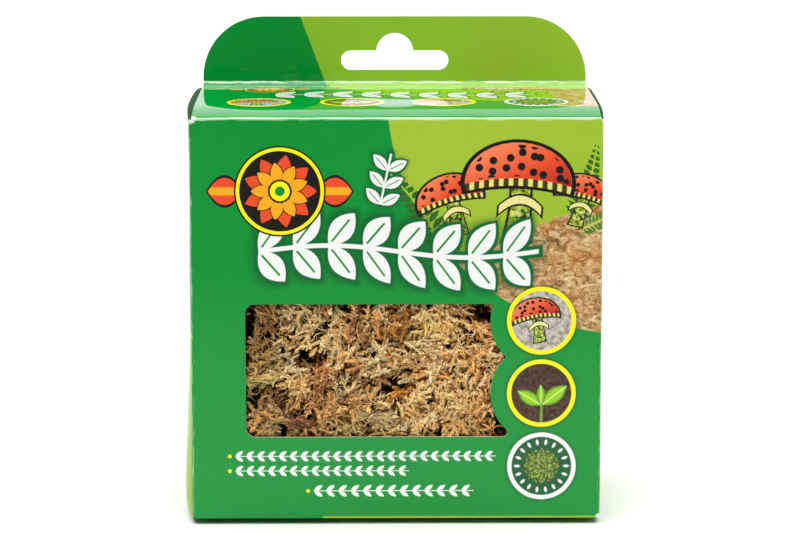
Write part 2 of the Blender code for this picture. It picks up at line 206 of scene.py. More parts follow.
class CartonPrintColours(bpy.types.PropertyGroup):
    """Ink and board colours."""

    deep_green: colour_property("Deep green", "Ground on the lower left", screen(0, 141, 51))
    lime: colour_property("Lime", "Ground on the upper right", screen(152, 186, 44))
    outline_green: colour_property("Outline green", "Rim round the white leaves", screen(0, 104, 46))
    yellow: colour_property("Yellow", "Rings of the badges", screen(252, 240, 10))
    white: colour_property("White", "Leaves and rows", screen(240, 241, 238))
    orange: colour_property("Orange", "Toadstool caps and petals", screen(232, 78, 38))
    gold: colour_property("Gold", "Heart of the flower", screen(246, 170, 28))
    ink: colour_property("Black ink", "Darkest ink", screen(22, 18, 16))
    # This colour is also laid as the painted highlight along the folds.
    worn: colour_property("Worn crease", "Where the ink is rubbed off at a fold", screen(214, 250, 208))
    raw_board: colour_property("Raw board", "Cut edges and the board's inside", screen(226, 218, 196))


class CartonMossSettings(bpy.types.PropertyGroup):
    """Amounts and sizes of the moss."""

    seed: count_property("Seed", "Start of the random draws", 7, 0)
    bundle: count_property("Bundle", "Branchlets in a bundle behind the window", 7, 1)
    window_heads: count_property("Window heads", "Dense strand heads behind the window", 10, 0)
    window_fibres: count_property("Window fibres", "Tufts of loose fibres behind the window", 60, 0)
    outer_strands: count_property("Outer strands", "Branchlets on the clump's other faces", 560, 1)
    leaf_length: length_property("Leaf length", "Length of a leaf on a branchlet", 0.0021)
    leaf_width: length_property("Leaf width", "Width of a leaf on a branchlet", 0.00140)


class CartonStageSettings(bpy.types.PropertyGroup):
    """Lights and floor."""

    key_power: float_property("Key light", "Power of the soft light at the front left", 10.5, "POWER")
    top_power: float_property("Top light", "Power of the wide light overhead", 66.0, "POWER")
    fill_power: float_property("Fill light", "Power of the soft light at the front right", 5.0, "POWER")
    back_power: float_property("Back light", "Power of the light on the floor's raised back", 35.0, "POWER")
    floor_colour: colour_property("Floor", "Colour of the floor and the backdrop", (0.90, 0.90, 0.885))


SETTINGS = {
    "carton_board": CartonBoardSizes,
    "carton_print": CartonPrintColours,
    "carton_moss": CartonMossSettings,
    "carton_stage": CartonStageSettings,
}


def feed(node, inputs):
    """Sets a node's inputs, by name or number, to numbers or colours, or links them to sockets."""
    for key, value in inputs.items():
        slot = node.inputs[key]
        if isinstance(value, Term):
            value = value.socket
        if isinstance(value, bpy.types.NodeSocket):
            node.id_data.links.new(value, slot)
        elif slot.type == "RGBA":
            slot.default_value = (*value, 1)
        else:
            slot.default_value = value
    return node


def new_node(tree, kind, inputs):
    return feed(tree.nodes.new("ShaderNode" + kind), inputs)


class Term:
    """A number inside a material. Sums, products and the like of terms add Math nodes to its tree."""

    def __init__(self, socket):
        self.socket = socket

    def worked(self, operation, *others, clamp=False):
        node = self.socket.id_data.nodes.new("ShaderNodeMath")
        node.operation = operation
        node.use_clamp = clamp
        feed(node, dict(enumerate((self, *others))))
        return Term(node.outputs[0])

    def scaled(self, by, plus, clamp=False):
        return self.worked("MULTIPLY_ADD", by, plus, clamp=clamp)

    def __add__(self, other):
        return self.worked("ADD", other)

    __radd__ = __add__

    def __sub__(self, other):
        return self.worked("SUBTRACT", other)

    def __rsub__(self, other):
        return self.scaled(-1.0, other)

    def __mul__(self, other):
        return self.worked("MULTIPLY", other)

    __rmul__ = __mul__

    def __truediv__(self, other):
        return self.worked("DIVIDE", other)

    def __rtruediv__(self, other):
        return self.worked("POWER", -1.0) * other

    def __abs__(self):
        return self.worked("ABSOLUTE")

    def least(self, *others):
        result = self
        for other in others:
            result = result.worked("MINIMUM", other)
        return result

    def most(self, other):
        return self.worked("MAXIMUM", other)

    def sine(self):
        return self.worked("SINE")

    def repeated(self, low, high):
        return self.worked("WRAP", high, low)

    def mask(self, soft=0.14):
        """One inside, nothing outside, for a signed distance that is positive inside."""
        return self.scaled(1.0 / soft, 0.5, clamp=True)


def length_of(x, y):
    """Distance of a point from the middle."""
    return (x * x + y * y).worked("SQRT")


def leaf_shape(x, y, length, width):
    """Signed distance of a pointed leaf along +x, positive inside."""
    return x * (length - x) * (2 * width / (length * length)) - abs(y)


def leaf_ring(away, angle, count, start, length, width):
    """Signed distance of a ring of leaves that point away from the middle."""
    half = math.pi / count
    near = angle.repeated(-half, half)
    return leaf_shape(away * near.worked("COSINE") - start, away * near.sine(), length, width)


def leaning(along, side, degrees):
    """Coordinates of a leaf that leans away from its branch."""
    cosine = math.cos(math.radians(degrees))
    sine = math.sin(math.radians(degrees))
    return along * cosine + side * sine, side * cosine - along * sine


def parts(tree, socket):
    """The first two coordinates of a place."""
    split = new_node(tree, "SeparateXYZ", {0: socket})
    return Term(split.outputs[0]), Term(split.outputs[1])


def noise_term(tree, place, scale, detail, roughness=0.5, distortion=0.0):
    """A noise from 0 to 1 at a place."""
    node = new_node(tree, "TexNoise", {"Vector": place, "Scale": scale, "Detail": detail})
    feed(node, {"Roughness": roughness, "Distortion": distortion})
    return Term(node.outputs["Fac"])


def own_place(tree):
    """A place in the piece's own coordinates."""
    return new_node(tree, "TexCoord", {}).outputs["Object"]


def colour_ramp(tree, term, stops, interpolation="LINEAR"):
    """A colour that follows a number through stops of position and colour."""
    node = new_node(tree, "ValToRGB", {0: term})
    node.color_ramp.interpolation = interpolation
    while len(node.color_ramp.elements) < len(stops):
        node.color_ramp.elements.new(0.5)
    for element, (position, colour) in zip(node.color_ramp.elements, stops):
        element.position = position
        element.color = (*colour, 1)
    return node.outputs[0]


def new_material(name):
    """A new material and its node tree."""
    made = bpy.data.materials.new(name)
    made.use_nodes = True
    return made, made.node_tree


def finish(material, colour, roughness, specular, relief=None, strength=1.0, distance=0.001):
    """Gives a material its colour, its gloss and the fine relief of a noise, and returns its shader."""
    tree = material.node_tree
    shader = tree.nodes["Principled BSDF"]
    feed(shader, {"Base Color": colour, "Roughness": roughness, "Specular IOR Level": specular})
    if relief:
        bump = new_node(tree, "Bump", {"Height": relief, "Strength": strength, "Distance": distance})
        feed(shader, {"Normal": bump.outputs[0]})
    return shader


class Artwork:
    """The colour of a printed panel, laid on in flat coordinates in millimetres, one mask over another."""

    def __init__(self, name):
        self.material, self.tree = new_material(name)
        self.colour = None
        flat = self.tree.nodes.new("ShaderNodeUVMap")
        flat.uv_map = "flat"
        scaled = self.tree.nodes.new("ShaderNodeVectorMath")
        scaled.operation = "SCALE"
        feed(scaled, {0: flat.outputs["UV"], "Scale": UV_UNIT * MM})
        self.place = scaled.outputs[0]
        self.x, self.y = parts(self.tree, self.place)

    def placed(self, x, y, degrees=0.0, size=1.0):
        """Coordinates of a motif whose origin is at a place on the panel, turned and scaled."""
        node = self.tree.nodes.new("ShaderNodeMapping")
        node.vector_type = "TEXTURE"
        turn = (0, 0, math.radians(degrees))
        feed(node, {"Vector": self.place, "Location": (x, y, 0), "Rotation": turn, "Scale": (size, size, 1)})
        return parts(self.tree, node.outputs[0])

    def disc(self, x, y, radius):
        """Signed distance of a disc."""
        return radius - length_of(*self.placed(x, y))

    def noise(self, size, detail=3.0, roughness=0.6, stretch=(1, 1), degrees=0.0, distortion=0.0):
        """A noise from 0 to 1 whose features have about that size in millimetres."""
        turn = (0, 0, math.radians(degrees))
        cells = (1 / (size * stretch[0]), 1 / (size * stretch[1]), 1)
        turned = new_node(self.tree, "Mapping", {"Vector": self.place, "Rotation": turn, "Scale": cells})
        return noise_term(self.tree, turned.outputs[0], 1.0, detail, roughness, distortion)

    def ink(self, colour):
        """A colour, which may be given by the name of a setting."""
        return getattr(bpy.context.scene.carton_print, colour) if isinstance(colour, str) else colour

    def ramp(self, term, *stops):
        return colour_ramp(self.tree, term, [(position, self.ink(colour)) for position, colour in stops])

    def lay(self, colour, mask=None):
        """Lays a colour over what is there, where the mask is one."""
        colour = self.ink(colour)
        if self.colour is None:
            self.colour = colour
            return
        node = self.tree.nodes.new("ShaderNodeMix")
        node.data_type = "RGBA"
        feed(node, {0: mask, 6: self.colour, 7: colour})
        self.colour = node.outputs[2]

    def finished(self, coat_ior=1.38, coat=1.0):
        """Closes the print: inks under a clear gloss varnish, with the board's fine grain under it."""
        grain = self.noise(0.35, detail=2.0)
        shader = finish(self.material, self.colour, 0.5, 0.0, grain, strength=0.05, distance=0.00002)
        feed(shader, {"Coat Weight": coat, "Coat Roughness": 0.04, "Coat IOR": coat_ior})
        return self.material


def deep_ground(art):
    """The deep green ground, slightly uneven."""
    art.lay("deep_green")
    art.lay(screen(0, 150, 62), art.noise(26, detail=1.0).scaled(1.6, -0.5, clamp=True) * 0.35)


def garland(art, x, y, degrees, pairs, pitch, leaf_length, leaf_width, sway=0.0, spread=52.0):
    """A leafy branch as signed distances: the whole branch and the midribs in its leaves."""
    along, aside = art.placed(x, y, degrees)
    if sway:
        aside = aside - (along * (2 * math.pi / (pairs * pitch))).sine() * sway
    nearest = along.repeated(-0.35 * pitch, 0.65 * pitch)
    side = abs(aside)
    whole = (0.10 * leaf_width - side).least(along, pairs * pitch - along)
    all_ribs = None
    for cell in (nearest, nearest + pitch):
        root = along - cell
        there = (root + 0.3 * pitch).least((pairs - 0.7) * pitch - root) * 30.0
        leaf_x, leaf_y = leaning(cell, side, spread)
        leaf = leaf_shape(leaf_x, leaf_y, leaf_length, leaf_width).least(there)
        ribs = 0.045 * leaf_width - abs(leaf_y)
        ribs = ribs.least(leaf_x - 0.12 * leaf_length, 0.80 * leaf_length - leaf_x, leaf)
        whole = whole.most(leaf)
        all_ribs = all_ribs.most(ribs) if all_ribs else ribs
    return whole, all_ribs


def white_garland(art, x, y, degrees, pairs, pitch, leaf_length, leaf_width, sway, rim, shade):
    """A white leafy branch with a green rim and a soft shade round it."""
    shape, ribs = garland(art, x, y, degrees, pairs, pitch, leaf_length, leaf_width, sway)
    if shade:
        art.lay(screen(0, 70, 26), (shape + 2.2 * rim).mask(2.4 * rim) * shade)
    art.lay("outline_green", (shape + rim).mask(0.2))
    art.lay("white", shape.mask())
    art.lay("deep_green", ribs.mask())


def sun_flower(art, x, y, radius):
    """An emblem: a dark disc in a yellow ring, with an open flower on it and a leaf at each side."""
    px, py = art.placed(x, y)
    wing = leaf_shape(abs(px) - radius * 0.86, py, radius * 0.78, radius * 0.62)
    art.lay("ink", (wing + 0.9).mask(0.2))
    art.lay("orange", wing.mask())
    art.lay("gold", (0.09 * radius - abs(py)).least(wing - 0.4).mask(0.3))
    away = length_of(px, py)

    def disc(colour, reach):
        art.lay(colour, (reach - away).mask())

    disc("ink", radius + 0.55)
    disc("yellow", radius)
    disc("ink", radius * 0.92)
    angle = py.worked("ARCTAN2", px)
    for tip, width, colour, turn in ((0.84, 0.34, "orange", 0.0), (0.66, 0.27, "gold", 0.35)):
        petals = leaf_ring(away, angle + turn, 9, 0.16 * radius, radius * (tip - 0.16), radius * width)
        art.lay("ink", (petals + 0.35).mask())
        art.lay(colour, petals.mask())
    disc("ink", 0.27 * radius)
    disc("yellow", 0.225 * radius)
    disc("deep_green", 0.11 * radius)


def cap_motif(art, x, y, radius):
    """A small red toadstool with a bent stem on a stony ground."""
    inside = BADGE_RIM - length_of(*art.placed(x, y, 0, radius))
    grain = art.noise(1.7, detail=4.0)
    stones = art.ramp(grain, (0.35, screen(120, 112, 104)), (0.62, screen(214, 206, 190)))
    art.lay(stones, inside.mask(0.02) * 0.9)
    toadstool(art, x - 0.5, y - 0.62 * radius, 10, radius * 0.80, keep=inside)


def sprout_motif(art, x, y, radius):
    """A bright green sprout of two broad leaves on a dark ground."""
    px, py = art.placed(x, y, 0, radius)
    inside = BADGE_RIM - length_of(px, py)
    earth = art.ramp(art.noise(1.3, detail=4.0), (0.35, screen(26, 20, 16)), (0.66, screen(96, 62, 44)))
    art.lay(earth, inside.mask(0.02))
    for degrees, length, width in ((38, 0.95, 0.44), (148, 0.82, 0.40), (92, 0.62, 0.26)):
        lx, ly = art.placed(x, y - 0.36 * radius, degrees, radius)
        blade = leaf_shape(lx, ly, length, width).least(inside)
        art.lay(screen(84, 140, 20), blade.mask(0.02))
        art.lay(screen(150, 205, 40), (blade - 0.05).mask(0.08))
        art.lay(screen(214, 240, 120), (0.016 - abs(ly)).least(blade - 0.02).mask(0.02))
    stem = (0.035 - abs(px)).least(-0.3 - py, inside)
    art.lay(screen(110, 160, 40), stem.mask(0.02))


def rosette_motif(art, x, y, radius):
    """A mossy rosette in a ring of small white drops."""
    px, py = art.placed(x, y, 0, radius)
    away = length_of(px, py)
    angle = py.worked("ARCTAN2", px)
    art.lay("white", leaf_ring(away, angle, 18, 0.62, 0.19, 0.085).mask(0.02))
    tuft = art.noise(0.9, detail=5.0, roughness=0.75)
    greens = ((0.34, screen(24, 44, 14)), (0.5, screen(92, 126, 36)), (0.68, screen(206, 214, 110)))
    speckle = art.ramp(tuft, *greens)
    petals = leaf_ring(away, angle, 8, 0.0, 0.56, 0.34)
    art.lay(speckle, (0.50 - away).most(petals).mask(0.02))
    art.lay(screen(20, 60, 26), (0.022 - abs(petals)).least(0.56 - away).mask(0.02))


# A badge's ground ends at this part of its radius
BADGE_RIM = 0.87

# The round badges: ring, ground and motif
BADGES = {
    "cap": ("yellow", screen(196, 186, 172), cap_motif),
    "sprout": ("yellow", screen(40, 30, 24), sprout_motif),
    "rosette": ("white", screen(6, 92, 44), rosette_motif),
}


def badge(art, x, y, radius, name):
    """A round badge: a coloured ring, a ground inside it and a motif."""
    ring, ground, motif = BADGES[name]
    away = length_of(*art.placed(x, y))
    art.lay(screen(4, 78, 34), (radius + 0.7 - away).mask(0.9) * 0.55)
    art.lay(ring, (radius - away).mask())
    art.lay(ground, (radius * BADGE_RIM - away).mask())
    motif(art, x, y, radius)


def toadstool(art, x, y, degrees, size, keep=None):
    """A toadstool with a spotted cap, a ringed stem and dark outlines, its foot at a place on the panel."""
    px, py = art.placed(x, y, degrees, size)

    def shown(shape):
        return (shape if keep is None else shape.least(keep)).mask(0.16 / size)

    bend = px - (py * 2.2).sine() * 0.05
    stem = (0.15 + 0.12 * (0.75 - py) * (0.75 - py) - abs(bend)).least(py, 1.05 - py)
    art.lay("ink", shown(stem + 0.04))
    mottle = art.noise(0.10 * size)
    greens = ((0.42, screen(30, 38, 12)), (0.50, screen(150, 176, 40)), (0.66, screen(224, 226, 130)))
    art.lay(art.ramp(mottle, *greens), shown(stem))
    droop = 0.74 - py - bend * bend * 1.5
    skirt = droop.least(0.13 - droop, 0.34 - abs(bend))
    art.lay("ink", shown(skirt + 0.035))
    art.lay(screen(236, 226, 150), shown(skirt))
    hood_y = py - 0.94
    dome = 1.0 - length_of(px / 0.86, hood_y / 0.66)
    brim = hood_y + 0.10 - 0.16 * (1.0 - px * px)
    cap = (dome * 0.6).least(brim + 0.10)
    art.lay("ink", shown(cap + 0.05))
    gills = (px * 40.0).sine().scaled(0.5, 0.5)
    art.lay(art.ramp(gills, (0.35, screen(60, 52, 20)), (0.75, screen(228, 222, 120))), shown(cap))
    skin = cap.least(brim - 0.02)
    glow = (px * -0.5 + hood_y).scaled(0.9, 0.35, clamp=True)
    reds = art.ramp(glow, (0.0, screen(176, 38, 24)), (0.5, "orange"), (1.0, screen(246, 128, 84)))
    art.lay(reds, shown(skin))
    cells = art.tree.nodes.new("ShaderNodeTexVoronoi")
    cells.voronoi_dimensions = "2D"
    feed(cells, {"Vector": art.place, "Scale": 1.0 / (0.21 * size), "Randomness": 0.8})
    spots = 0.30 - Term(cells.outputs["Distance"])
    art.lay("ink", spots.mask(0.06) * shown(skin - 0.03))


def fern_frond(art, x, y, degrees, length, width, colour, rib):
    """A fern frond: pairs of narrow leaflets that shorten towards the tip."""
    along, aside = art.placed(x, y, degrees)
    aside = aside - along * along * (0.16 / length)
    pitch = length / 13
    side = abs(aside)
    reach = (1.02 - along / length) * width + 0.4
    leaf_x, leaf_y = leaning(along.repeated(0.0, pitch), side, 62)
    leaves = leaf_shape(leaf_x, leaf_y, reach, pitch * 0.86).least(along, length - along)
    art.lay(colour, leaves.mask())
    art.lay(rib, (0.28 - side).least(along, length - along).mask())


def small_leaf_row(art, x, y, length, leaf_length):
    """A thin white row of small leaves with a bud at its start."""
    pitch = leaf_length * 1.18
    pairs = max(1, round(length / pitch))
    shape, _ = garland(art, x, y, 0.0, pairs, pitch, leaf_length, leaf_length * 0.40, spread=34.0)
    art.lay("white", shape.mask())
    art.lay("yellow", art.disc(x - 1.9, y, 0.62).mask())


def moss_ground(art, mask):
    """Printed litter of dry moss: pale, tan and brown flecks."""
    coarse = art.noise(2.3, detail=6.0, roughness=0.72, stretch=(1.6, 1.0), degrees=28, distortion=1.2)
    litter = art.ramp(
        coarse,
        (0.30, screen(58, 36, 18)),
        (0.40, screen(128, 88, 46)),
        (0.50, screen(188, 150, 98)),
        (0.60, screen(226, 200, 152)),
        (0.72, screen(247, 236, 205)),
    )
    art.lay(litter, mask)
    warm = art.noise(9, detail=1.0)
    art.lay(screen(196, 120, 44), (warm - 0.56).mask(0.25) * mask * 0.45)


def creased(art, line, reach, strength, colour="worn", break_size=(9, 1.2), broken=2.2):
    """A pale line along a horizontal crease, broken up by a noise: rubbed ink with a painted highlight on the
    fold.
    """
    rubbed = art.noise(1.0, stretch=break_size)
    near = 1.0 - abs(art.y - line) / reach
    left = (near + (rubbed - 0.5) * broken).scaled(1.2, -0.1, clamp=True)
    art.lay(colour, left * near.mask(0.4) * strength)


def rubbed_corner(art, x, y, reach):
    """A corner rubbed to white board, with flecks of ink left."""
    away = length_of(*art.placed(x, y)) / reach
    flecks = art.noise(0.8, detail=4.0)
    art.lay(screen(236, 242, 226), (1.15 - away + (flecks - 0.5) * 2.6).mask(0.3))


def upright_wear(art, half_width):
    """Ink rubbed thin along the upright creases."""
    rubbed = art.noise(1.0, stretch=(0.6, 6))
    near = 1.0 - abs(abs(art.x) - half_width) / 0.7
    left = (near * 0.6 + (rubbed - 0.62) * 2.5).scaled(1.0, 0.0, clamp=True)
    art.lay("worn", left * 0.7)


def front_print():
    """Front panel: two green grounds, garlands, flower, toadstools, moss litter, badges and leaf rows."""
    art = Artwork("front_print")
    deep_ground(art)
    field = art.disc(75.5, 140.0, 78.5)
    art.lay("lime", field.mask())
    art.lay(screen(170, 200, 62), (art.y * 0.02 - art.x * 0.01 - 1.75).mask(1.2) * field.mask() * 0.5)
    ragged = art.noise(3.2, detail=5.0, roughness=0.7)
    litter = (81.0 + 0.36 * art.x - art.y + (ragged - 0.5) * 9.0).least(field)
    moss_ground(art, litter.mask(0.5))
    fern_frond(art, 14.0, 92.0, 118, 30, 7.5, screen(46, 104, 30), screen(170, 196, 60))
    fern_frond(art, 58.0, 100.0, 66, 25, 6.5, screen(46, 104, 30), screen(170, 196, 60))
    fern_frond(art, 60.0, 96.0, 22, 16, 5.0, screen(70, 128, 34), screen(190, 206, 80))
    toadstool(art, 20.5, 94.0, 16, 12.5)
    toadstool(art, 57.5, 97.0, -14, 10.5)
    toadstool(art, 38.5, 92.0, -2, 20.0)
    white_garland(art, -44.5, 88.6, 0, 8, 11.3, 13.8, 7.4, 2.0, 1.25, 0.55)
    white_garland(art, -5.2, 104.0, 78, 3, 5.6, 7.0, 3.4, 0.0, 0.7, 0.35)
    sun_flower(art, -37.5, 108.3, 14.2)
    badge(art, 47.0, 65.8, 11.2, "cap")
    badge(art, 47.1, 41.8, 11.2, "sprout")
    badge(art, 47.3, 17.5, 11.2, "rosette")
    small_leaf_row(art, -52.5, 20.9, 86, 3.0)
    small_leaf_row(art, -52.5, 16.0, 58, 3.0)
    small_leaf_row(art, -27.0, 9.3, 52, 3.4)
    # Lime ink laid as a painted highlight along the lower crease, right of x = -24 mm.
    art.lay("lime", (0.75 - art.y).least(art.x + 24.0).mask(0.3))
    # A pale line along the upper fold: rubbed ink and a painted highlight.
    creased(art, FOLD_MM, 0.95, 0.95)
    upright_wear(art, HALF_WIDTH_MM)
    rubbed_corner(art, -HALF_WIDTH_MM, FOLD_MM, 1.5)
    rubbed_corner(art, HALF_WIDTH_MM, FOLD_MM, 0.8)
    rubbed_corner(art, HALF_WIDTH_MM, 0.0, 1.1)
    return art.finished()


def top_print(name, coat_ior):
    """Top panel and tab: the front's two greens, a row of badges, a leaf branch, and pale lines at the
    creases, which are rubbed ink and painted highlights.
    """
    art = Artwork(name)
    sizes = bpy.context.scene.carton_board
    base = FOLD_MM
    rear = base + (TOP_LENGTH - sizes.score_step) * MM
    tab_foot = rear + score_length(sizes) * MM
    art.lay("deep_green")
    px, py = art.placed(66.0, rear + 12.0)
    art.lay(screen(134, 190, 30), (62.0 - length_of(px / 1.45, py)).mask())
    tab = art.y - rear - 0.8
    split = art.x + 23.9 + (art.y - tab_foot) * 0.373
    art.lay("deep_green", tab.mask())
    art.lay(screen(146, 190, 50), split.least(tab).mask())
    front_part = base - 0.2 - art.y
    art.lay("deep_green", front_part.mask())
    art.lay("lime", (art.x + 1.7).least(front_part).mask())
    white_garland(art, -40.0, base + 45.0, 0, 9, 9.6, 10.5, 5.0, 1.2, 0.9, 0.3)
    sun_flower(art, -42.5, base + 61.0, 8.6)
    toadstool(art, 35.0, base + 50.0, 0, 13.0)
    toadstool(art, 49.0, base + 50.0, -10, 9.0)
    litter = art.noise(3.2, detail=5.0, roughness=0.7)
    moss = (art.x - 52.0 + (litter - 0.5) * 9.0).least(base + 62.0 - art.y, art.y - base - 14.0)
    moss_ground(art, moss.mask(0.5))
    for x, motif in ((-44.9, "cap"), (-14.3, "sprout"), (15.8, "cap"), (46.1, "rosette")):
        badge(art, x, base + 25.0, 10.6, motif)
    # A pale line along the front fold: rubbed ink and a painted highlight.
    creased(art, base, 0.8, 0.9, "worn", (14, 1.6))
    # Pale lines along the tab's double score: painted highlights on its creases, with some rubbed ink.
    creased(art, rear, 0.5, 0.6, screen(196, 246, 200))
    creased(art, tab_foot, 0.4, 0.6, screen(196, 246, 200))
    creased(art, tab_foot - 0.15, 0.5, 0.8, screen(222, 246, 212), (7, 0.9), 22.0)
    rubbed_corner(art, -HALF_WIDTH_MM, base, 1.8)
    rubbed_corner(art, HALF_WIDTH_MM, base, 0.8)
    return art.finished(coat_ior)


def side_print():
    """Side panels: lime below and deep green above, parted by a slow curve, with a leaf branch."""
    art = Artwork("side_print")
    art.lay(screen(138, 182, 34))
    mirrored = abs(art.x) - SIDE_MIDDLE_MM
    past_wave = art.y - (76.0 + (mirrored * 0.045).sine() * 10.0 + mirrored * 0.1)
    art.lay("deep_green", past_wave.mask())
    art.lay("white", (0.5 - abs(past_wave + 1.8)).mask())
    for x in (-SIDE_MIDDLE_MM, SIDE_MIDDLE_MM):
        white_garland(art, x, 22.0, 90, 4, 10.6, 12.4, 5.6, 1.2, 0.9, 0.0)
        badge(art, x, 104.0, 15.0, "sprout")
        small_leaf_row(art, x - 24.0, 84.0, 46, 3.0)
    rubbed_corner(art, -HALF_WIDTH_MM, SIDE_HEIGHT * MM, 1.4)
    return art.finished(1.3, 0.5)


def back_print():
    """Back panel: deep green with a lime field, a branch, a flower, badges and rows of small leaves."""
    art = Artwork("back_print")
    deep_ground(art)
    middle = (WIDTH + DEPTH) * MM
    field = art.disc(middle - 70.0, 150.0, 86.0)
    art.lay("lime", field.mask())
    art.lay("white", (0.5 - abs(field + 1.8)).mask())
    white_garland(art, middle - 44.0, 112.0, 0, 8, 11.3, 13.6, 6.2, 2.0, 1.2, 0.4)
    sun_flower(art, middle + 30.0, 82.0, 15.0)
    toadstool(art, middle - 38.0, 62.0, 8, 20.0)
    toadstool(art, middle - 18.0, 62.0, -8, 14.0)
    for row in range(5):
        small_leaf_row(art, middle - 52.0, 50.0 - row * 6.2, 100 - 14 * (row % 2), 3.2)
    for x, motif in ((-40.0, "cap"), (0.0, "sprout"), (40.0, "rosette")):
        badge(art, middle + x, 14.0, 9.5, motif)
    # A pale line along the top fold: rubbed ink and a painted highlight.
    creased(art, (REAR_FOLD - BASE_SAG) * MM, 0.5, 0.6)
    return art.finished()


def flap_bleed_painted_shade():
    """Outside of the dust flaps: ink that runs over the fold, dull and darkened as painted shade, then bare
    board.
    """
    art = Artwork("flap_bleed_painted_shade")
    # The bleed's green is greyed and darkened as painted shade, as the flap lies in the shade of the top
    # panel's edge.
    art.lay(screen(58, 84, 58))
    art.lay(screen(214, 206, 184), (art.y - SIDE_HEIGHT * MM - 5.0).most(-5.0 - art.y).mask(0.5))
    finish(art.material, art.colour, 0.95, 0.0)
    return art.material


def paper_material(name, light, roughness, fleck):
    """Uncoated board: pale fibres with a soft grain in colour and height."""
    made, tree = new_material(name)
    colour = [light * part for part in bpy.context.scene.carton_print.raw_board]
    fibres = noise_term(tree, own_place(tree), 900.0, 4.0)
    grain = colour_ramp(tree, fibres, ((0.3, [part * fleck for part in colour]), (0.65, colour)))
    finish(made, grain, roughness, 0.2, fibres, strength=0.3, distance=0.00005)
    return made


def kept(name, maker, *arguments):
    """A material that several pieces share, made once."""
    return bpy.data.materials.get(name) or maker(name, *arguments)


def arc(centre, radius, start, end, steps=10):
    """Points on an arc in the flat board, angles in degrees."""
    angles = [math.radians(start + (end - start) * i / steps) for i in range(steps + 1)]
    return [(centre[0] + radius * math.cos(a), centre[1] + radius * math.sin(a)) for a in angles]


def bearing(start, end):
    return math.degrees(math.atan2(end[1] - start[1], end[0] - start[0]))


def touching_x(scallop_z, tip_z, tip_radius):
    """Where a tip's centre lies across the panel so that its arc runs into the scallop's."""
    reach = SCALLOP_RADIUS + tip_radius
    return SCALLOP_X - math.sqrt(reach**2 - (scallop_z - tip_z) ** 2)


def window_outline():
    """The window's edge: round corners on the left, two scallops with small round tips on the right."""
    upper = (SCALLOP_X, SCALLOP_UPPER)
    lower = (SCALLOP_X, SCALLOP_LOWER)
    corner = WINDOW_CORNER_RADIUS
    low_z = WINDOW_BOTTOM + TIP_RADIUS_BOTTOM
    mid_z = (SCALLOP_UPPER + SCALLOP_LOWER) / 2
    top_z = WINDOW_TOP - TIP_RADIUS_TOP
    low_tip = (touching_x(SCALLOP_LOWER, low_z, TIP_RADIUS_BOTTOM), low_z)
    mid_tip = (touching_x(SCALLOP_UPPER, mid_z, TIP_RADIUS_MIDDLE), mid_z)
    top_tip = (touching_x(SCALLOP_UPPER, top_z, TIP_RADIUS_TOP), top_z)
    points = arc((WINDOW_LEFT + corner, WINDOW_BOTTOM + corner), corner, 180, 270)
    points += arc(low_tip, TIP_RADIUS_BOTTOM, -90, bearing(low_tip, lower))
    points += arc(lower, SCALLOP_RADIUS, bearing(lower, low_tip) + 360, bearing(lower, mid_tip), 20)[1:-1]
    points += arc(mid_tip, TIP_RADIUS_MIDDLE, bearing(mid_tip, lower), bearing(mid_tip, upper))
    points += arc(upper, SCALLOP_RADIUS, bearing(upper, mid_tip) + 360, bearing(upper, top_tip), 20)[1:-1]
    points += arc(top_tip, TIP_RADIUS_TOP, bearing(top_tip, upper), 90)
    points += arc((WINDOW_LEFT + corner, WINDOW_TOP - corner), corner, 90, 180)
    return points


def slot_outline(middle, fold):
    """A round-ended bar with a round hump on its top, over a fold at that distance along the board."""
    end_radius = (SLOT_TOP - SLOT_BOTTOM) / 2
    end_z = fold + SLOT_BOTTOM + end_radius
    end_x = SLOT_LENGTH / 2 - end_radius
    rise = math.degrees(math.asin((SLOT_TOP - HUMP_CENTRE) / HUMP_RADIUS))
    points = arc((middle + end_x, end_z), end_radius, -90, 90)
    points += arc((middle, fold + HUMP_CENTRE), HUMP_RADIUS, rise, 180 - rise, 20)
    points += arc((middle - end_x, end_z), end_radius, 90, 270)
    return points


def tab_end(middle, top):
    """The rounded end of the hang tab, from right to left."""
    x = TAB_WIDTH / 2 - TAB_CORNER_RADIUS
    z = top - TAB_CORNER_RADIUS
    right = arc((middle + x, z), TAB_CORNER_RADIUS, 0, 90, 28)
    left = arc((middle - x, z), TAB_CORNER_RADIUS, 90, 180, 28)
    return right + left


def from_table(table, place):
    """A value between the rows of a table of places and values, which ends level."""
    low, amount = table[0]
    start = amount
    for high, end in table[1:]:
        if place > low:
            amount = start + (end - start) * min((place - low) / (high - low), 1.0)
        low, start = high, end
    return amount


def side_bow(side, y, z):
    """How far a side panel stands out from its corner folds at a place on it."""
    across = min(max(0.5 + y / DEPTH, 0.0), 1.0)
    amount = from_table(RIGHT_BOW if side > 0 else LEFT_BOW, z)
    return amount * (4 * across * (1 - across)) ** SIDE_FULLNESS


def top_height(y):
    """Height of the top panel's outer face, which drops a little before the tab's double score."""
    past = max(TOP_BEND_LENGTH - HALF_DEPTH - y, 0) / TOP_BEND_LENGTH
    near_tab = max(y - TAB_FACE + DIP_START, 0) / DIP_LENGTH
    return REAR_FOLD - (REAR_FOLD - FRONT_FOLD) * past**2 - SCORE_DIP * min(near_tab, 1.0) ** 2


def sag_rise(x, y):
    """How far a flap of the base is lifted over its sagging middle."""
    past_x = (abs(x) - HALF_WIDTH + SAG_RIM) / SAG_RIM
    past_y = (abs(y) - HALF_DEPTH + SAG_RIM) / SAG_RIM
    return BASE_SAG * min(max(past_x, past_y, 0), 1.0)


def flap_height(lift, x, y, past):
    """Height of a closing flap's outer face, which leaves the wall's lower edge and reaches its own level."""
    blend = min(past / FLAP_BLEND, 1.0)
    return BASE_SAG * (1 - blend) + (lift + sag_rise(x, y)) * blend


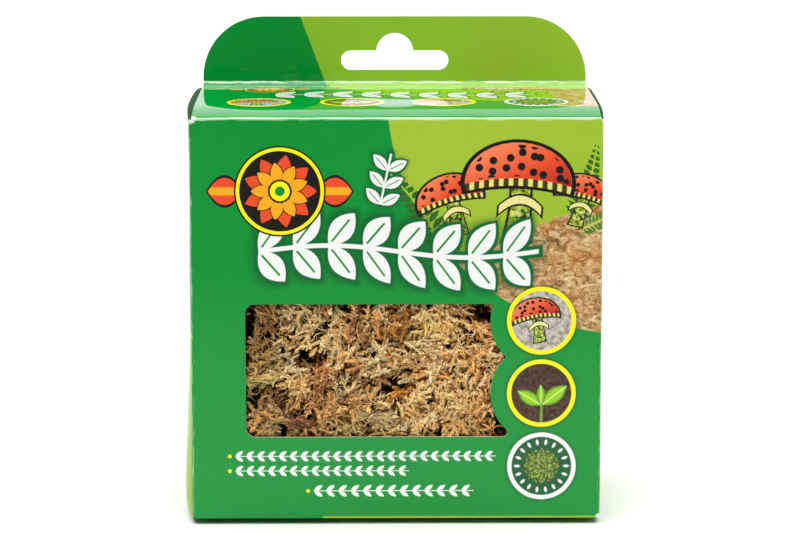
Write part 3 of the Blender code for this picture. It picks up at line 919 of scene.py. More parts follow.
def wall_path(u, z):
    """A place on the four walls with sharp corners. u runs round the carton from the middle of the front."""
    girth = 2 * (WIDTH + DEPTH)
    u = (u + girth / 2) % girth - girth / 2
    side = 1 if u > 0 else -1
    past = abs(u) - HALF_WIDTH
    if past <= 0:
        return Vector((u, -HALF_DEPTH, z))
    if past <= DEPTH:
        y = past - HALF_DEPTH
        return Vector((side * (HALF_WIDTH + side_bow(side, y, z)), y, z))
    return Vector((side * (HALF_WIDTH + DEPTH - past), HALF_DEPTH, z))


def rounded(path, distance, creases):
    """A place on a path with rounded creases. Each crease is its distance along the path and its reach."""
    for crease, reach in creases:
        part = (distance - crease + reach) / (2 * reach)
        if 0 < part < 1:
            before = path(crease - reach)
            corner = path(crease)
            after = path(crease + reach)
            return before * (1 - part) ** 2 + corner * (2 * part * (1 - part)) + after * part**2
    return path(distance)


def wall_creases(sizes):
    """The upright creases along the walls' path."""
    reach = sizes.corner_round
    places = (HALF_WIDTH, HALF_WIDTH + DEPTH, HALF_WIDTH + DEPTH + WIDTH)
    return [(side * place, reach) for place in places for side in (-1, 1)]


def ripple(a, b, seed):
    """A slow unevenness between -1 and 1."""
    return noise.noise(Vector((a / RIPPLE_SIZE, b / RIPPLE_SIZE, seed))) * 1.6


def fade(value, low, high, reach=0.008):
    """Nothing at the two limits, one at more than a reach inside them."""
    inside = min(value - low, high - value) / reach
    return min(max(inside, 0.0), 1.0)


def wall_place(sizes, u, v):
    """Where a point of the blank lands on the walls."""
    z = BASE_SAG + v
    place = rounded(lambda distance: wall_path(distance, z), u, wall_creases(sizes))
    ripple_by = sizes.wave * ripple(u, v, 3.0) * fade(v, 0, FRONT_HEIGHT)
    if abs(u) < HALF_WIDTH:
        place.y += ripple_by * fade(u, -HALF_WIDTH, HALF_WIDTH)
    elif abs(u) < HALF_WIDTH + DEPTH:
        place.x += ripple_by * 3 * fade(abs(u), HALF_WIDTH, HALF_WIDTH + DEPTH)
    return place


def closing_place(sizes, u, v, side, lift):
    """The front (side -1) or the back (side 1) with the tab's rear ply, and below it its closing flap."""
    x = u if side < 0 else WIDTH + DEPTH - u

    def path(distance):
        if distance >= 0:
            return Vector((x, side * HALF_DEPTH, BASE_SAG + distance))
        y = side * (HALF_DEPTH + distance)
        return Vector((x, y, flap_height(lift, x, y, -distance)))

    if v >= sizes.base_round:
        return wall_place(sizes, u, v)
    return rounded(path, v, [(0.0, sizes.base_round)])


def side_place(sizes, u, v):
    """A side panel, which reaches up to the bent top panel, with its dust flap above and below."""
    side = 1 if u > 0 else -1
    y = abs(u) - HALF_WIDTH - HALF_DEPTH
    fold = top_height(y) - SIDE_DROP * min((HALF_DEPTH - y) / SIDE_DROP_FADE, 1.0)
    rise = fold - BASE_SAG
    if v > SIDE_HEIGHT:
        v += rise - SIDE_HEIGHT
    elif v > 0:
        v *= rise / SIDE_HEIGHT

    def path(distance):
        if distance > rise:
            past = distance - rise
            blend = min(past / DUST_FLAP_BLEND, 1.0)
            x = HALF_WIDTH + side_bow(side, y, fold) - past
            return Vector((side * x, y, fold + (DUST_FLAP_TOP - fold) * blend * (2 - blend)))
        if distance < 0:
            x = HALF_WIDTH + side_bow(side, y, BASE_SAG) + distance
            return Vector((side * x, y, flap_height(DUST_FLAP_LIFT, x, y, -distance)))
        return wall_place(sizes, u, distance)

    return rounded(path, v, [(0.0, sizes.base_round), (rise, sizes.fold_round)])


def score_length(sizes):
    return sizes.score_step * math.sqrt(2)


def top_place(sizes, u, v):
    """The top panel, from just below the front's upper fold, and the tab's front ply."""
    score = sizes.score_step
    rear = FRONT_HEIGHT + TOP_LENGTH
    slant = score_length(sizes)

    def path(distance):
        if distance <= FRONT_HEIGHT:
            return Vector((u, -HALF_DEPTH, BASE_SAG + distance))
        if distance <= rear - score:
            y = distance - FRONT_HEIGHT - HALF_DEPTH
            lift = sizes.wave * ripple(u, distance, 9.0) * fade(distance, FRONT_HEIGHT, rear - score)
            return Vector((u, y, top_height(y) + lift))
        if distance <= rear - score + slant:
            part = (distance - rear + score) / slant
            return Vector((u, TAB_FACE - score * (1 - part), REAR_FOLD - SCORE_DIP + score * part))
        past = distance - (rear - score + slant)
        return Vector((u, TAB_FACE, REAR_FOLD - SCORE_DIP + score + past))

    creases = [
        (FRONT_HEIGHT, sizes.fold_round),
        (rear - score, SCORE_ROUND_LOW),
        (rear - score + slant, SCORE_ROUND_HIGH),
    ]
    return rounded(path, v, creases)


def spaced(low, high, step):
    """Even cuts strictly between two limits, about a step apart."""
    count = max(1, math.ceil((high - low) / step))
    return [low + (high - low) * i / count for i in range(1, count)]


def crease_cuts(crease, reach, count=8):
    """Close cuts across a rounded crease."""
    return [crease - reach + 2 * reach * i / count for i in range(count + 1)]


def cut_across(bm, axis, cuts, least):
    """Divides a mesh by planes across an axis."""
    normal = Vector((0, 0, 0))
    normal[axis] = 1
    for cut in cuts:
        geometry = bm.verts[:] + bm.edges[:] + bm.faces[:]
        bmesh.ops.bisect_plane(bm, geom=geometry, dist=least, plane_co=normal * cut, plane_no=normal)


def flat_board(outline, holes, across, along):
    """Cuts a piece of board flat: its outline, its holes, and the lines that divide it."""
    bm = bmesh.new()
    for loop in [outline, *holes]:
        corners = [bm.verts.new((u, v, 0)) for u, v in loop]
        for start, end in zip(corners, corners[1:] + corners[:1]):
            bm.edges.new((start, end))
    bmesh.ops.triangle_fill(bm, use_beauty=True, use_dissolve=False, edges=bm.edges[:], normal=(0, 0, 1))
    cut_across(bm, 0, across, 1e-7)
    cut_across(bm, 1, along, 1e-7)
    bmesh.ops.join_triangles(
        bm, faces=bm.faces[:], cmp_seam=False, angle_face_threshold=0.1, angle_shape_threshold=0.7
    )
    for face in bm.faces:
        if face.normal.z < 0:
            face.normal_flip()
    return bm


def wide_board(sizes, middle, top, upper, flap_length, flap_cuts, hole):
    """Cuts the front or back with its closing flap. Upper is the outline's upper part, from the right."""
    side = HALF_WIDTH + sizes.corner_round
    flap = HALF_WIDTH - sizes.corner_round
    low = WIDE_WALL_EDGE
    local = [(side, low), *upper, (-side, low), (-flap, low)]
    free = flap - CLOSING_FLAP_TAPER
    local += [(-free, -flap_length), (free, -flap_length), (flap, low)]
    across = crease_cuts(middle - HALF_WIDTH, sizes.corner_round)[1:]
    across += crease_cuts(middle + HALF_WIDTH, sizes.corner_round)[:-1]
    across += spaced(middle - flap, middle + flap, sizes.cell)
    along = crease_cuts(0.0, sizes.base_round) + spaced(sizes.base_round, top, sizes.cell) + flap_cuts
    return flat_board([(middle + t, v) for t, v in local], [hole], across, along)


def mesh_from(bm, name):
    mesh = bpy.data.meshes.new(name)
    bm.to_mesh(mesh)
    bm.free()
    return mesh


def linked(name, data):
    """A new object in the scene."""
    made = bpy.data.objects.new(name, data)
    bpy.context.scene.collection.objects.link(made)
    return made


def board_piece(name, flat, place, prints, nodes, in_second=None):
    """Folds a flat piece of board by a function of its flat coordinates and gives it its thickness.

    Prints are its one or two outer coatings, and a function tells where the second lies.
    """
    sizes = bpy.context.scene.carton_board
    layer = flat.loops.layers.uv.new("flat")
    for edge in flat.edges:
        edge.smooth = not edge.is_boundary
    for face in flat.faces:
        face.smooth = True
        if in_second and in_second(face.calc_center_median()):
            face.material_index = 3
        for loop in face.loops:
            loop[layer].uv = loop.vert.co.xy / UV_UNIT
    for vert in flat.verts:
        vert.co = place(sizes, vert.co.x, vert.co.y)
    flat.normal_update()
    mesh = mesh_from(flat, name)
    inside = kept("board_inside", paper_material, 0.82, 0.85, 0.82)
    edge = kept("board_cut_edge", paper_material, 1.0, 0.9, 0.88)
    for outer in prints:
        for coating in (outer or inside, inside, edge):
            mesh.materials.append(coating)
    made = linked(name, mesh)
    board = made.modifiers.new("board", "SOLIDIFY")
    board.thickness = BOARD
    board.offset = -1
    board.use_even_offset = True
    board.use_quality_normals = True
    board.material_offset = 1
    board.material_offset_rim = 2
    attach(made, "root")
    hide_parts(*nodes)


class CartonPiece:
    """What the operators share."""

    bl_options = {"REGISTER", "UNDO"}


class CARTON_OT_front_panel(CartonPiece, bpy.types.Operator):
    """Make the front panel with its window, its rounded corners and the inner closing flap below it"""

    bl_idname = "carton.front_panel"
    bl_label = "Front panel"

    def execute(self, context):
        sizes = context.scene.carton_board
        side = HALF_WIDTH + sizes.corner_round
        high = FRONT_HEIGHT - sizes.fold_round
        cuts = [-SAG_RIM] + spaced(-INNER_FLAP_LENGTH, -SAG_RIM, FLAP_CELL)
        upper = [(side, high), (-side, high)]
        board_piece(
            "front_board",
            wide_board(sizes, 0.0, high, upper, INNER_FLAP_LENGTH, cuts, window_outline()),
            lambda sizes, u, v: closing_place(sizes, u, v, -1, INNER_FLAP_LIFT),
            [front_print()],
            ("front_panel", "bottom_inner_flap"),
        )
        return {"FINISHED"}


class CARTON_OT_top_and_tab(CartonPiece, bpy.types.Operator):
    """Make the top panel and the tab's front ply, one strip over the front's upper fold"""

    bl_idname = "carton.top_and_tab"
    bl_label = "Top panel and hang tab"

    def execute(self, context):
        sizes = context.scene.carton_board
        low = FRONT_HEIGHT - sizes.fold_round
        rear = FRONT_HEIGHT + TOP_LENGTH
        lower_score = rear - sizes.score_step
        upper_score = lower_score + score_length(sizes)
        fold = upper_score - sizes.score_step + SCORE_DIP
        end = fold + TAB_TOP - REAR_FOLD
        half = TAB_WIDTH / 2
        outline = [(half, low), *tab_end(0.0, end), (-half, low)]
        along = crease_cuts(FRONT_HEIGHT, sizes.fold_round)[1:]
        along += spaced(FRONT_HEIGHT + sizes.fold_round, FRONT_HEIGHT + TOP_BEND_LENGTH, BEND_CELL)
        along += spaced(FRONT_HEIGHT + TOP_BEND_LENGTH, lower_score - SCORE_ROUND_LOW, sizes.cell)
        along += crease_cuts(lower_score, SCORE_ROUND_LOW)
        along += crease_cuts(upper_score, SCORE_ROUND_HIGH)
        along += spaced(rear + BEND_CELL, end, sizes.cell)
        board_piece(
            "top_and_tab_board",
            flat_board(outline, [slot_outline(0.0, fold)], spaced(-half, half, sizes.cell), along),
            top_place,
            [top_print("top_print", 1.52), top_print("tab_print", 1.3)],
            ("top_panel", "hang_tab"),
            lambda spot: spot.y > upper_score,
        )
        return {"FINISHED"}


class CARTON_OT_side_panels(CartonPiece, bpy.types.Operator):
    """Make both bowed side panels, each with its dust flap above and below"""

    bl_idname = "carton.side_panels"
    bl_label = "Side panels"

    def execute(self, context):
        sizes = context.scene.carton_board
        # The dust flaps wear the ink bleed that is darkened as painted shade.
        prints = [side_print(), flap_bleed_painted_shade()]
        low = SIDE_WALL_LOW_EDGE
        high = SIDE_HEIGHT - SIDE_WALL_TOP_EDGE
        half = HALF_DEPTH - sizes.corner_round
        hinge = half - HINGE_INSET
        free = half - DUST_FLAP_TAPER
        right = [(half, low), (half, high), (hinge, high), (free, SIDE_HEIGHT + DUST_FLAP_LENGTH)]
        local = right + [(-t, v) for t, v in reversed(right)]
        local += [(-hinge, low), (-free, -DUST_FLAP_LENGTH), (free, -DUST_FLAP_LENGTH), (hinge, low)]
        along = crease_cuts(0.0, sizes.base_round) + crease_cuts(SIDE_HEIGHT, sizes.fold_round)
        along += spaced(sizes.base_round, SIDE_HEIGHT - sizes.fold_round, sizes.cell)
        along += spaced(SIDE_HEIGHT + sizes.fold_round, SIDE_HEIGHT + DUST_FLAP_LENGTH, BROAD_FLAP_CELL)
        along += [-SAG_RIM] + spaced(-DUST_FLAP_LENGTH, -SAG_RIM, FLAP_CELL)
        for name, side in (("left", -1), ("right", 1)):
            middle = side * (HALF_WIDTH + HALF_DEPTH)
            across = spaced(middle - half, middle + half, SIDE_CELL)
            board_piece(
                "side_board_" + name,
                flat_board([(middle + t, v) for t, v in local], [], across, along),
                side_place,
                prints,
                (name + "_side_panel", "top_dust_flap_" + name, "bottom_dust_flap_" + name),
                lambda spot: spot.y > SIDE_HEIGHT - BLEED_AND_SHADE_START or spot.y < 0,
            )
        return {"FINISHED"}


class CARTON_OT_back_panel(CartonPiece, bpy.types.Operator):
    """Make the back panel with the tab's rear ply and the outer closing flap, and the glue flap inside"""

    bl_idname = "carton.back_panel"
    bl_label = "Back panel"

    def execute(self, context):
        sizes = context.scene.carton_board
        middle = WIDTH + DEPTH
        side = HALF_WIDTH + sizes.corner_round
        wall_top = FRONT_FOLD - BASE_SAG - 0.001
        tab_low = wall_top + 0.0012
        end = TAB_TOP - BASE_SAG
        half = TAB_WIDTH / 2
        upper = [(side, wall_top), (half, tab_low), *tab_end(0.0, end), (-half, tab_low), (-side, wall_top)]
        cuts = [-SAG_RIM, SAG_RIM - DEPTH] + spaced(SAG_RIM - DEPTH, -SAG_RIM, BROAD_FLAP_CELL)
        slot = slot_outline(middle, REAR_FOLD - BASE_SAG)
        board_piece(
            "back_board",
            wide_board(sizes, middle, end, upper, OUTER_FLAP_LENGTH, cuts, slot),
            lambda sizes, u, v: closing_place(sizes, u, v, 1, 0.0),
            [back_print()],
            ("back_panel", "bottom_outer_flap"),
        )
        low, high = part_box("glue_flap")
        outline = [(low.x, low.z), (high.x, low.z + GLUE_FLAP_TAPER)]
        outline += [(high.x, high.z - GLUE_FLAP_TAPER), (low.x, high.z)]
        board_piece(
            "glue_flap_board",
            flat_board(outline, [], [], spaced(low.z, high.z, GLUE_FLAP_CELL)),
            lambda sizes, u, v: Vector((u, low.y, v)),
            [None],
            ("glue_flap",),
        )
        return {"FINISHED"}


# Dark hollows in the moss behind the window: x, height above the panel's lower edge, radius and depth
HOLLOWS = (
    (-0.0500, 0.0600, 0.0052, 0.0055),
    (-0.0485, 0.0700, 0.0040, 0.0040),
    (-0.0492, 0.0380, 0.0050, 0.0055),
    (-0.0384, 0.0634, 0.0034, 0.0050),
    (-0.0415, 0.0440, 0.0050, 0.0055),
    (-0.0301, 0.0538, 0.0029, 0.0045),
    (-0.0300, 0.0345, 0.0040, 0.0045),
    (-0.0021, 0.0435, 0.0038, 0.0050),
    (0.0265, 0.0699, 0.0050, 0.0055),
    (0.0233, 0.0590, 0.0030, 0.0040),
    (0.0332, 0.0311, 0.0034, 0.0045),
)

# Dry moss colours by name
MOSS_COLOURS = {
    "straw": screen(252, 222, 164),
    "pale": screen(255, 232, 182),
    "tan": screen(244, 202, 140),
    "orange_tan": screen(240, 190, 124),
    "ochre": screen(214, 158, 84),
    "brown": screen(206, 154, 102),
    "dusky": screen(170, 122, 88),
    "olive": screen(242, 214, 142),
    "grey": screen(240, 212, 160),
}

# The part of the front's inner face that moss is laid behind, past the window's edges
FIELD_LEFT = WINDOW_LEFT - 0.004
FIELD_RIGHT = 0.0390
FIELD_LOW = WINDOW_BOTTOM - 0.004
FIELD_HIGH = WINDOW_TOP + 0.004
FIELD_INSET = 0.004
WINDOW_PIECES = 6

# How deep behind the front's inner face the kinds of moss lie
LEADING_DEPTH = 0.0013
MARKED_HEAD_DEPTH = 0.0020
HEAD_DEPTH = 0.0026
TUFT_DEPTH = 0.0010

# Spreads of the random draws in a bundle and in a leading strand, in metres and radians
BUNDLE_TURN = 0.40
BUNDLE_TILT = 0.14
BUNDLE_DEPTH = 0.0007
BRANCHLET_ASIDE = 0.0016
BRANCHLET_AHEAD = 0.0024
BRANCHLET_TURN = 0.24
BRANCHLET_TILT = 0.10
LEADING_TURN = 0.28
LEADING_TILT = 0.06
LEADING_DEPTH_SPREAD = 0.0003
LEADING_SPREAD = 0.0006
LEADING_COUNT = 9
LEADING_STEP = 0.0011
MARKED_HEAD_COUNT = 5
MARKED_HEAD_SPREAD = 0.0013
MARKED_HEAD_SIZE = 0.7

# Strands on the clump's front stay this far from the window
WINDOW_MARGIN = 0.008
# Moss that would stand out of its limits is pressed into this depth
PRESSED = 0.001
# Moss stays this far behind the front's inner face, stands this much further forward in the open window,
# and stays this far within the block's other faces
FRONT_GAP = 0.00025
WINDOW_PROUD = 0.00065
BLOCK_GAP = 0.0004
# Where the open window ends on the right, and the depth of its edge
WINDOW_RIGHT = 0.031
WINDOW_EDGE = 0.002

# The core, painted dark as shade under the strands: its distance from the block's faces, its rounded edges,
# its cells and its lumps
CORE_INSET = 0.003
CORE_FRONT_INSET = 0.005
CORE_BEVEL = 0.007
CORE_CELL = 0.0024
CORE_LUMPS = ((0.0016, 0.0060), (0.0009, 0.0024))

# The outer strands: how far their middles lie from the edges and under the faces of the block
OUTER_EDGE_INSET = 0.006
OUTER_DEPTH = 0.0026
OUTER_FLATNESS = 0.12

# The turn from one leaf to the next round a stem, in radians
LEAF_TURN = 2.39996
# A strand's middle, from its start
STRAND_MIDDLE = 0.003

# Branchlets: least and greatest length, least and greatest number of leaves, radius of the stem at its foot,
# and how far the leaves there stand off its middle
BRANCHLET_LENGTHS = (0.0045, 0.0080)
BRANCHLET_LEAVES = (10, 12)
STEM_RADIUS = 0.00058
LEAF_OUTWARDS = 0.00018

# Loose fibres: least and greatest length and radius, and how far apart those of one tuft lie
FIBRE_LENGTHS = (0.0035, 0.0085)
FIBRE_RADII = (0.00011, 0.00020)
TUFT_SPREAD = 0.0025

# Sizes of the lighter and darker clumps, and of the places where the strands lie alike
CLUMP_SIZE = 0.0085
FLOW_SIZE = 0.020

# Painted light on the moss behind the window: its left end is darkened with painted shade, and its right half
# is a little lighter with painted light
LEFT_END_PAINTED_SHADE = 0.58
PAINTED_SHADE_REACH = 0.018
RIGHT_HALF_PAINTED_LIGHT = 1.3
RIGHT_HALF_START = 0.005
RIGHT_HALF_FADE = 0.012
LIGHTEST_MOSS = 0.99

# Colours that turn up everywhere, and how often
COMMON_MOSS = (
    ("tan", 0.9),
    ("straw", 0.9),
    ("orange_tan", 0.35),
    ("pale", 0.25),
    ("brown", 0.25),
    ("grey", 0.12),
)

# Where the colours lie behind the window: x, height above the panel's lower edge, reach, colour
MOSS_ZONES = (
    (-0.0017, 0.0675, 0.0065, "ochre"),
    (0.0111, 0.0650, 0.0075, "olive"),
    (0.0040, 0.0560, 0.0060, "straw"),
    (-0.0394, 0.0683, 0.0080, "grey"),
    (-0.0215, 0.0670, 0.0080, "grey"),
    (-0.0458, 0.0540, 0.0055, "orange_tan"),
    (-0.0345, 0.0580, 0.0040, "ochre"),
    (-0.0185, 0.0560, 0.0055, "brown"),
    (-0.0104, 0.0590, 0.0045, "pale"),
    (-0.0104, 0.0480, 0.0060, "dusky"),
    (0.0137, 0.0500, 0.0070, "straw"),
    (0.0249, 0.0560, 0.0080, "tan"),
    (0.0300, 0.0470, 0.0060, "tan"),
    (-0.0394, 0.0475, 0.0050, "olive"),
    (-0.0249, 0.0450, 0.0060, "tan"),
    (-0.0313, 0.0378, 0.0050, "dusky"),
    (-0.0435, 0.0340, 0.0060, "orange_tan"),
    (0.0015, 0.0385, 0.0035, "ochre"),
    (-0.0136, 0.0305, 0.0050, "olive"),
    (-0.0217, 0.0345, 0.0050, "orange_tan"),
    (0.0201, 0.0345, 0.0080, "straw"),
    (0.0105, 0.0290, 0.0070, "tan"),
)

# Strands that lead the eye in the window: x, height, direction in degrees, size, colour
LEADING_STRANDS = (
    (-0.0440, 0.0462, 12, 1.15, "olive"),
    (-0.0360, 0.0486, 20, 1.00, "pale"),
    (-0.0440, 0.0345, 38, 1.15, "orange_tan"),
    (-0.0400, 0.0310, 46, 1.10, "tan"),
    (0.0060, 0.0400, 52, 1.15, "straw"),
    (0.0130, 0.0500, 60, 1.10, "pale"),
    (0.0090, 0.0560, -18, 1.00, "straw"),
    (-0.0060, 0.0335, 4, 1.00, "grey"),
    (0.0080, 0.0320, 14, 1.00, "pale"),
    (-0.0230, 0.0360, 70, 1.00, "orange_tan"),
    (0.0110, 0.0640, -60, 1.00, "olive"),
    (0.0160, 0.0660, -58, 0.95, "straw"),
    (-0.0460, 0.0590, 84, 1.00, "orange_tan"),
    (0.0270, 0.0520, 62, 1.00, "tan"),
)

# Dense bead-like heads among them: x, height above the panel's lower edge, colour
MOSS_HEADS = ((-0.0345, 0.0580, "ochre"), (-0.0050, 0.0372, "orange_tan"), (-0.0017, 0.0672, "ochre"))

# Layers of bundles behind the window, from the back: spacing, depth behind the front's inner face, and a tint
# that darkens the deeper layers as painted shade
MOSS_LAYERS = (
    (0.0068, 0.0066, (0.48, 0.38, 0.28)),
    (0.0056, 0.0042, (0.84, 0.76, 0.66)),
    (0.0050, 0.0020, (1.0, 1.0, 1.0)),
)


def leaf_prototype(rng, length, width):
    """One dry leaf: a closed three-sided blade along +Z, ridged, pointed, curled and twisted."""
    bm = bmesh.new()
    bmesh.ops.create_uvsphere(bm, u_segments=3, v_segments=4, radius=0.5)
    quarter = Matrix.Rotation(math.pi / 2, 3, "Z")
    curl = rng.uniform(-1.3, 1.1)
    sway = rng.uniform(-0.9, 0.9)
    twist = rng.uniform(-0.9, 0.9)
    along = []
    for vert in bm.verts:
        part = vert.co.z + 0.5
        along.append(part)
        reach = quarter @ Vector((vert.co.x, vert.co.y, 0))
        turn = Matrix.Rotation(twist * part, 3, "Z")
        taper = 1.30 - 0.60 * part
        flat = turn @ Vector((reach.x * width * taper, reach.y * width * 0.40 * taper, 0))
        angle = curl * part
        middle = (sway * part * part * 0.32, math.sin(angle) * part * 0.5, part * math.cos(angle * 0.6))
        vert.co = Vector(middle) * length + flat
    mesh = finished_prototype(bm, "leaf")
    # The part along the leaf sets its painted shade, darker at the foot.
    mark(mesh, along, "painted_shade_along_leaf")
    return mesh


def finished_prototype(bm, name):
    """A mesh from a bmesh, with its faces outwards and smooth."""
    bmesh.ops.recalc_face_normals(bm, faces=bm.faces[:])
    for face in bm.faces:
        face.smooth = True
    return mesh_from(bm, name)


def bent_path(rng, length, turn, wander=0.35):
    """Points and directions along a strand from the origin that curls by a turn in radians as it goes."""
    steps = 10
    heading = Vector((0, 0, 1))
    place = Vector((0, 0, 0))
    start = rng.uniform(0, math.tau)
    axis = Vector((math.cos(start), math.sin(start), 0))
    path = [(place.copy(), heading.copy())]
    for _ in range(steps):
        axis = (axis + Vector([rng.uniform(-wander, wander) for _ in range(3)])).normalized()
        heading = (Matrix.Rotation(turn / steps, 3, axis) @ heading).normalized()
        place = place + heading * (length / steps)
        path.append((place.copy(), heading.copy()))
    return path


def on_path(path, part):
    """Place and direction at a part of a path."""
    spot = min(max(part, 0.0), 0.9999) * (len(path) - 1)
    index = int(spot)
    rest = spot - index
    place = path[index][0].lerp(path[index + 1][0], rest)
    heading = path[index][1].lerp(path[index + 1][1], rest).normalized()
    return place, heading


def strand_body(path, radius, sides, rings, taper):
    """A closed thin stem along a path, thinner towards its end."""
    bm = bmesh.new()
    bmesh.ops.create_uvsphere(bm, u_segments=sides, v_segments=rings, radius=0.5)
    for vert in bm.verts:
        part = min(max(vert.co.z + 0.5, 0.0), 1.0)
        place, heading = on_path(path, part)
        turn = heading.to_track_quat("Z", "Y").to_matrix()
        reach = math.hypot(vert.co.x, vert.co.y)
        round_off = min(reach * 2.4, 0.5) / reach if reach > 1e-6 else 0
        thick = 2 * radius * (1.0 - taper * part)
        vert.co = place + turn @ Vector((vert.co.x, vert.co.y, 0)) * (round_off * thick)
    return bm


def mark(mesh, values, name="leaf_tone"):
    """Writes a number on the points of a mesh: a list of them, or one for all."""
    if not isinstance(values, list):
        values = [values] * len(mesh.vertices)
    layer = mesh.attributes.get(name) or mesh.attributes.new(name, "FLOAT", "POINT")
    layer.data.foreach_set("value", values)


def merge(bm, mesh, move):
    """Adds a mesh to another, moved, and removes it."""
    mesh.transform(move)
    bm.from_mesh(mesh)
    bpy.data.meshes.remove(mesh)


def facing(heading):
    """The turn that points +Z along a heading."""
    return heading.to_track_quat("Z", "Y").to_matrix().to_4x4()


def branchlet_prototype(rng, leaves, length, leaf_count, turn):
    """A curled plump branchlet along +Z: a tapered stem that broad leaves close in, lapping each other."""
    path = bent_path(rng, length, turn)
    stem = finished_prototype(strand_body(path, STEM_RADIUS, sides=5, rings=8, taper=0.55), "stem")
    mark(stem, 0.45)
    mark(stem, 0.45, "painted_shade_along_leaf")
    bm = bmesh.new()
    merge(bm, stem, Matrix())
    for i in range(leaf_count):
        part = (i + 0.4 * rng.random()) / leaf_count
        place, heading = on_path(path, 0.90 * part)
        size = rng.uniform(0.75, 1.15) * (1.0 - 0.40 * part**2)
        around = Matrix.Rotation(i * LEAF_TURN + rng.uniform(-0.5, 0.5), 4, "Z")
        outwards = Matrix.Translation((0, -LEAF_OUTWARDS * (1 - part), 0))
        open_by = Matrix.Rotation(math.radians(max(rng.gauss(15, 9), 2)), 4, "X")
        leaf = rng.choice(leaves).copy()
        own = Matrix.Rotation(rng.gauss(0, 0.35), 4, "Z") @ Matrix.Scale(size, 4)
        mark(leaf, rng.random())
        merge(bm, leaf, Matrix.Translation(place) @ facing(heading) @ around @ outwards @ open_by @ own)
    return finished_prototype(bm, "branchlet")


def head_prototype(rng, leaves, leaf_count):
    """A strand's dense head: short leaves that spread from one point like a bud."""
    bm = bmesh.new()
    for i in range(leaf_count):
        part = (i + 0.5) / leaf_count
        around = Matrix.Rotation(i * LEAF_TURN, 4, "Z")
        open_by = Matrix.Rotation(math.radians(8 + 88 * part + rng.uniform(-8, 8)), 4, "X")
        leaf = rng.choice(leaves).copy()
        own = Matrix.Scale(rng.uniform(0.50, 0.68), 4)
        mark(leaf, rng.random())
        merge(bm, leaf, around @ open_by @ own)
    return finished_prototype(bm, "head")


def tuft_prototype(rng, count):
    """A few thin loose fibres that curl and cross each other."""
    bm = bmesh.new()
    for _ in range(count):
        path = bent_path(rng, rng.uniform(*FIBRE_LENGTHS), rng.uniform(1.0, 5.5), wander=0.6)
        body = strand_body(path, rng.uniform(*FIBRE_RADII), sides=3, rings=9, taper=0.5)
        fibre = finished_prototype(body, "fibre")
        mark(fibre, rng.uniform(0.5, 1.0))
        mark(fibre, 0.8, "painted_shade_along_leaf")
        turn = Matrix.Rotation(rng.uniform(0, math.tau), 4, "Y")
        turn = turn @ Matrix.Rotation(rng.uniform(-0.5, 0.5), 4, "X")
        shift = Vector((rng.uniform(-1, 1), rng.uniform(-0.2, 0.2), rng.uniform(-1, 1))) * TUFT_SPREAD
        merge(bm, fibre, Matrix.Translation(shift) @ turn)
    return finished_prototype(bm, "tuft")


def hollow_depth(x, height):
    """How far the moss is sunk behind the window, and how near the place is to a hollow's middle."""
    deepest = 0.0
    nearness = 0.0
    for hollow_x, hollow_z, radius, depth in HOLLOWS:
        distance = math.hypot(x - hollow_x, height - hollow_z) / radius
        weight = math.exp(-distance * distance)
        deepest = max(deepest, depth * weight)
        nearness = max(nearness, weight)
    return deepest, nearness


def zone_colour(rng, x, height):
    """A moss colour for a place behind the window: the nearest zone's, or one drawn from the common ones."""
    weights = []
    for zone_x, zone_z, reach, name in MOSS_ZONES:
        distance = math.hypot(x - zone_x, height - zone_z) / reach
        weights.append((math.exp(-distance * distance) * 3.2, name))
    weights += [(often, name) for name, often in COMMON_MOSS]
    pick = rng.uniform(0, sum(weight for weight, _ in weights))
    for weight, name in weights:
        pick -= weight
        if pick <= 0:
            break
    return MOSS_COLOURS[name]


def in_patch(colour, x, height):
    """A colour at a place behind the window, with painted shade towards the left end, painted light over the
    right half, and lighter and darker clumps that take turns.
    """
    clump = noise.noise(Vector((x / CLUMP_SIZE, height / CLUMP_SIZE, 7.7)))
    # Painted shade at the window's left end and painted light over its right half.
    out_of_painted_shade = min(max((x - WINDOW_LEFT) / PAINTED_SHADE_REACH, 0.0), 1.0)
    into_right = min(max((x - RIGHT_HALF_START) / RIGHT_HALF_FADE + 0.5, 0.0), 1.0)
    light = LEFT_END_PAINTED_SHADE + (1 - LEFT_END_PAINTED_SHADE) * out_of_painted_shade + (RIGHT_HALF_PAINTED_LIGHT - 1) * into_right
    light *= 1.04 + 0.36 * clump
    return tuple(part * light for part in colour)


def varied(rng, colour, amount=0.14):
    """A colour a little lighter or darker, and a little warmer or cooler."""
    light = rng.uniform(1 - amount * 1.5, 1 + amount)
    warm = rng.uniform(-0.06, 0.06)
    tint = (colour[0] * light * (1 + warm), colour[1] * light, colour[2] * light * (1 - 1.5 * warm))
    past_white = max(max(tint) / LIGHTEST_MOSS, 1.0)
    return tuple(part / past_white for part in tint)


def flow_angle(x, height):
    """The main lie of the strands at a place behind the window, in radians."""
    spot = Vector((x / FLOW_SIZE, height / FLOW_SIZE, 4.2))
    return noise.noise(spot) * 3.6 + 0.5


def moss_piece(name, mesh, material):
    """An object of moss from a mesh."""
    mesh.materials.append(material)
    made = linked(name, mesh)
    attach(made, "root")
    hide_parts("moss_clump")


class MossPile:
    """A growing mesh of moss copies, which becomes one piece."""

    def __init__(self):
        self.bm = bmesh.new()

    def add(self, prototype, move, colour):
        copied = prototype.copy()
        tint = copied.attributes.new("tint", "FLOAT_COLOR", "POINT")
        tint.data.foreach_set("color", [*colour, 1.0] * len(copied.vertices))
        merge(self.bm, copied, move)

    def piece(self, name, settle):
        for vert in self.bm.verts:
            settle(vert.co)
        moss_piece(name, mesh_from(self.bm, name), kept("dry_moss_strands", moss_material))


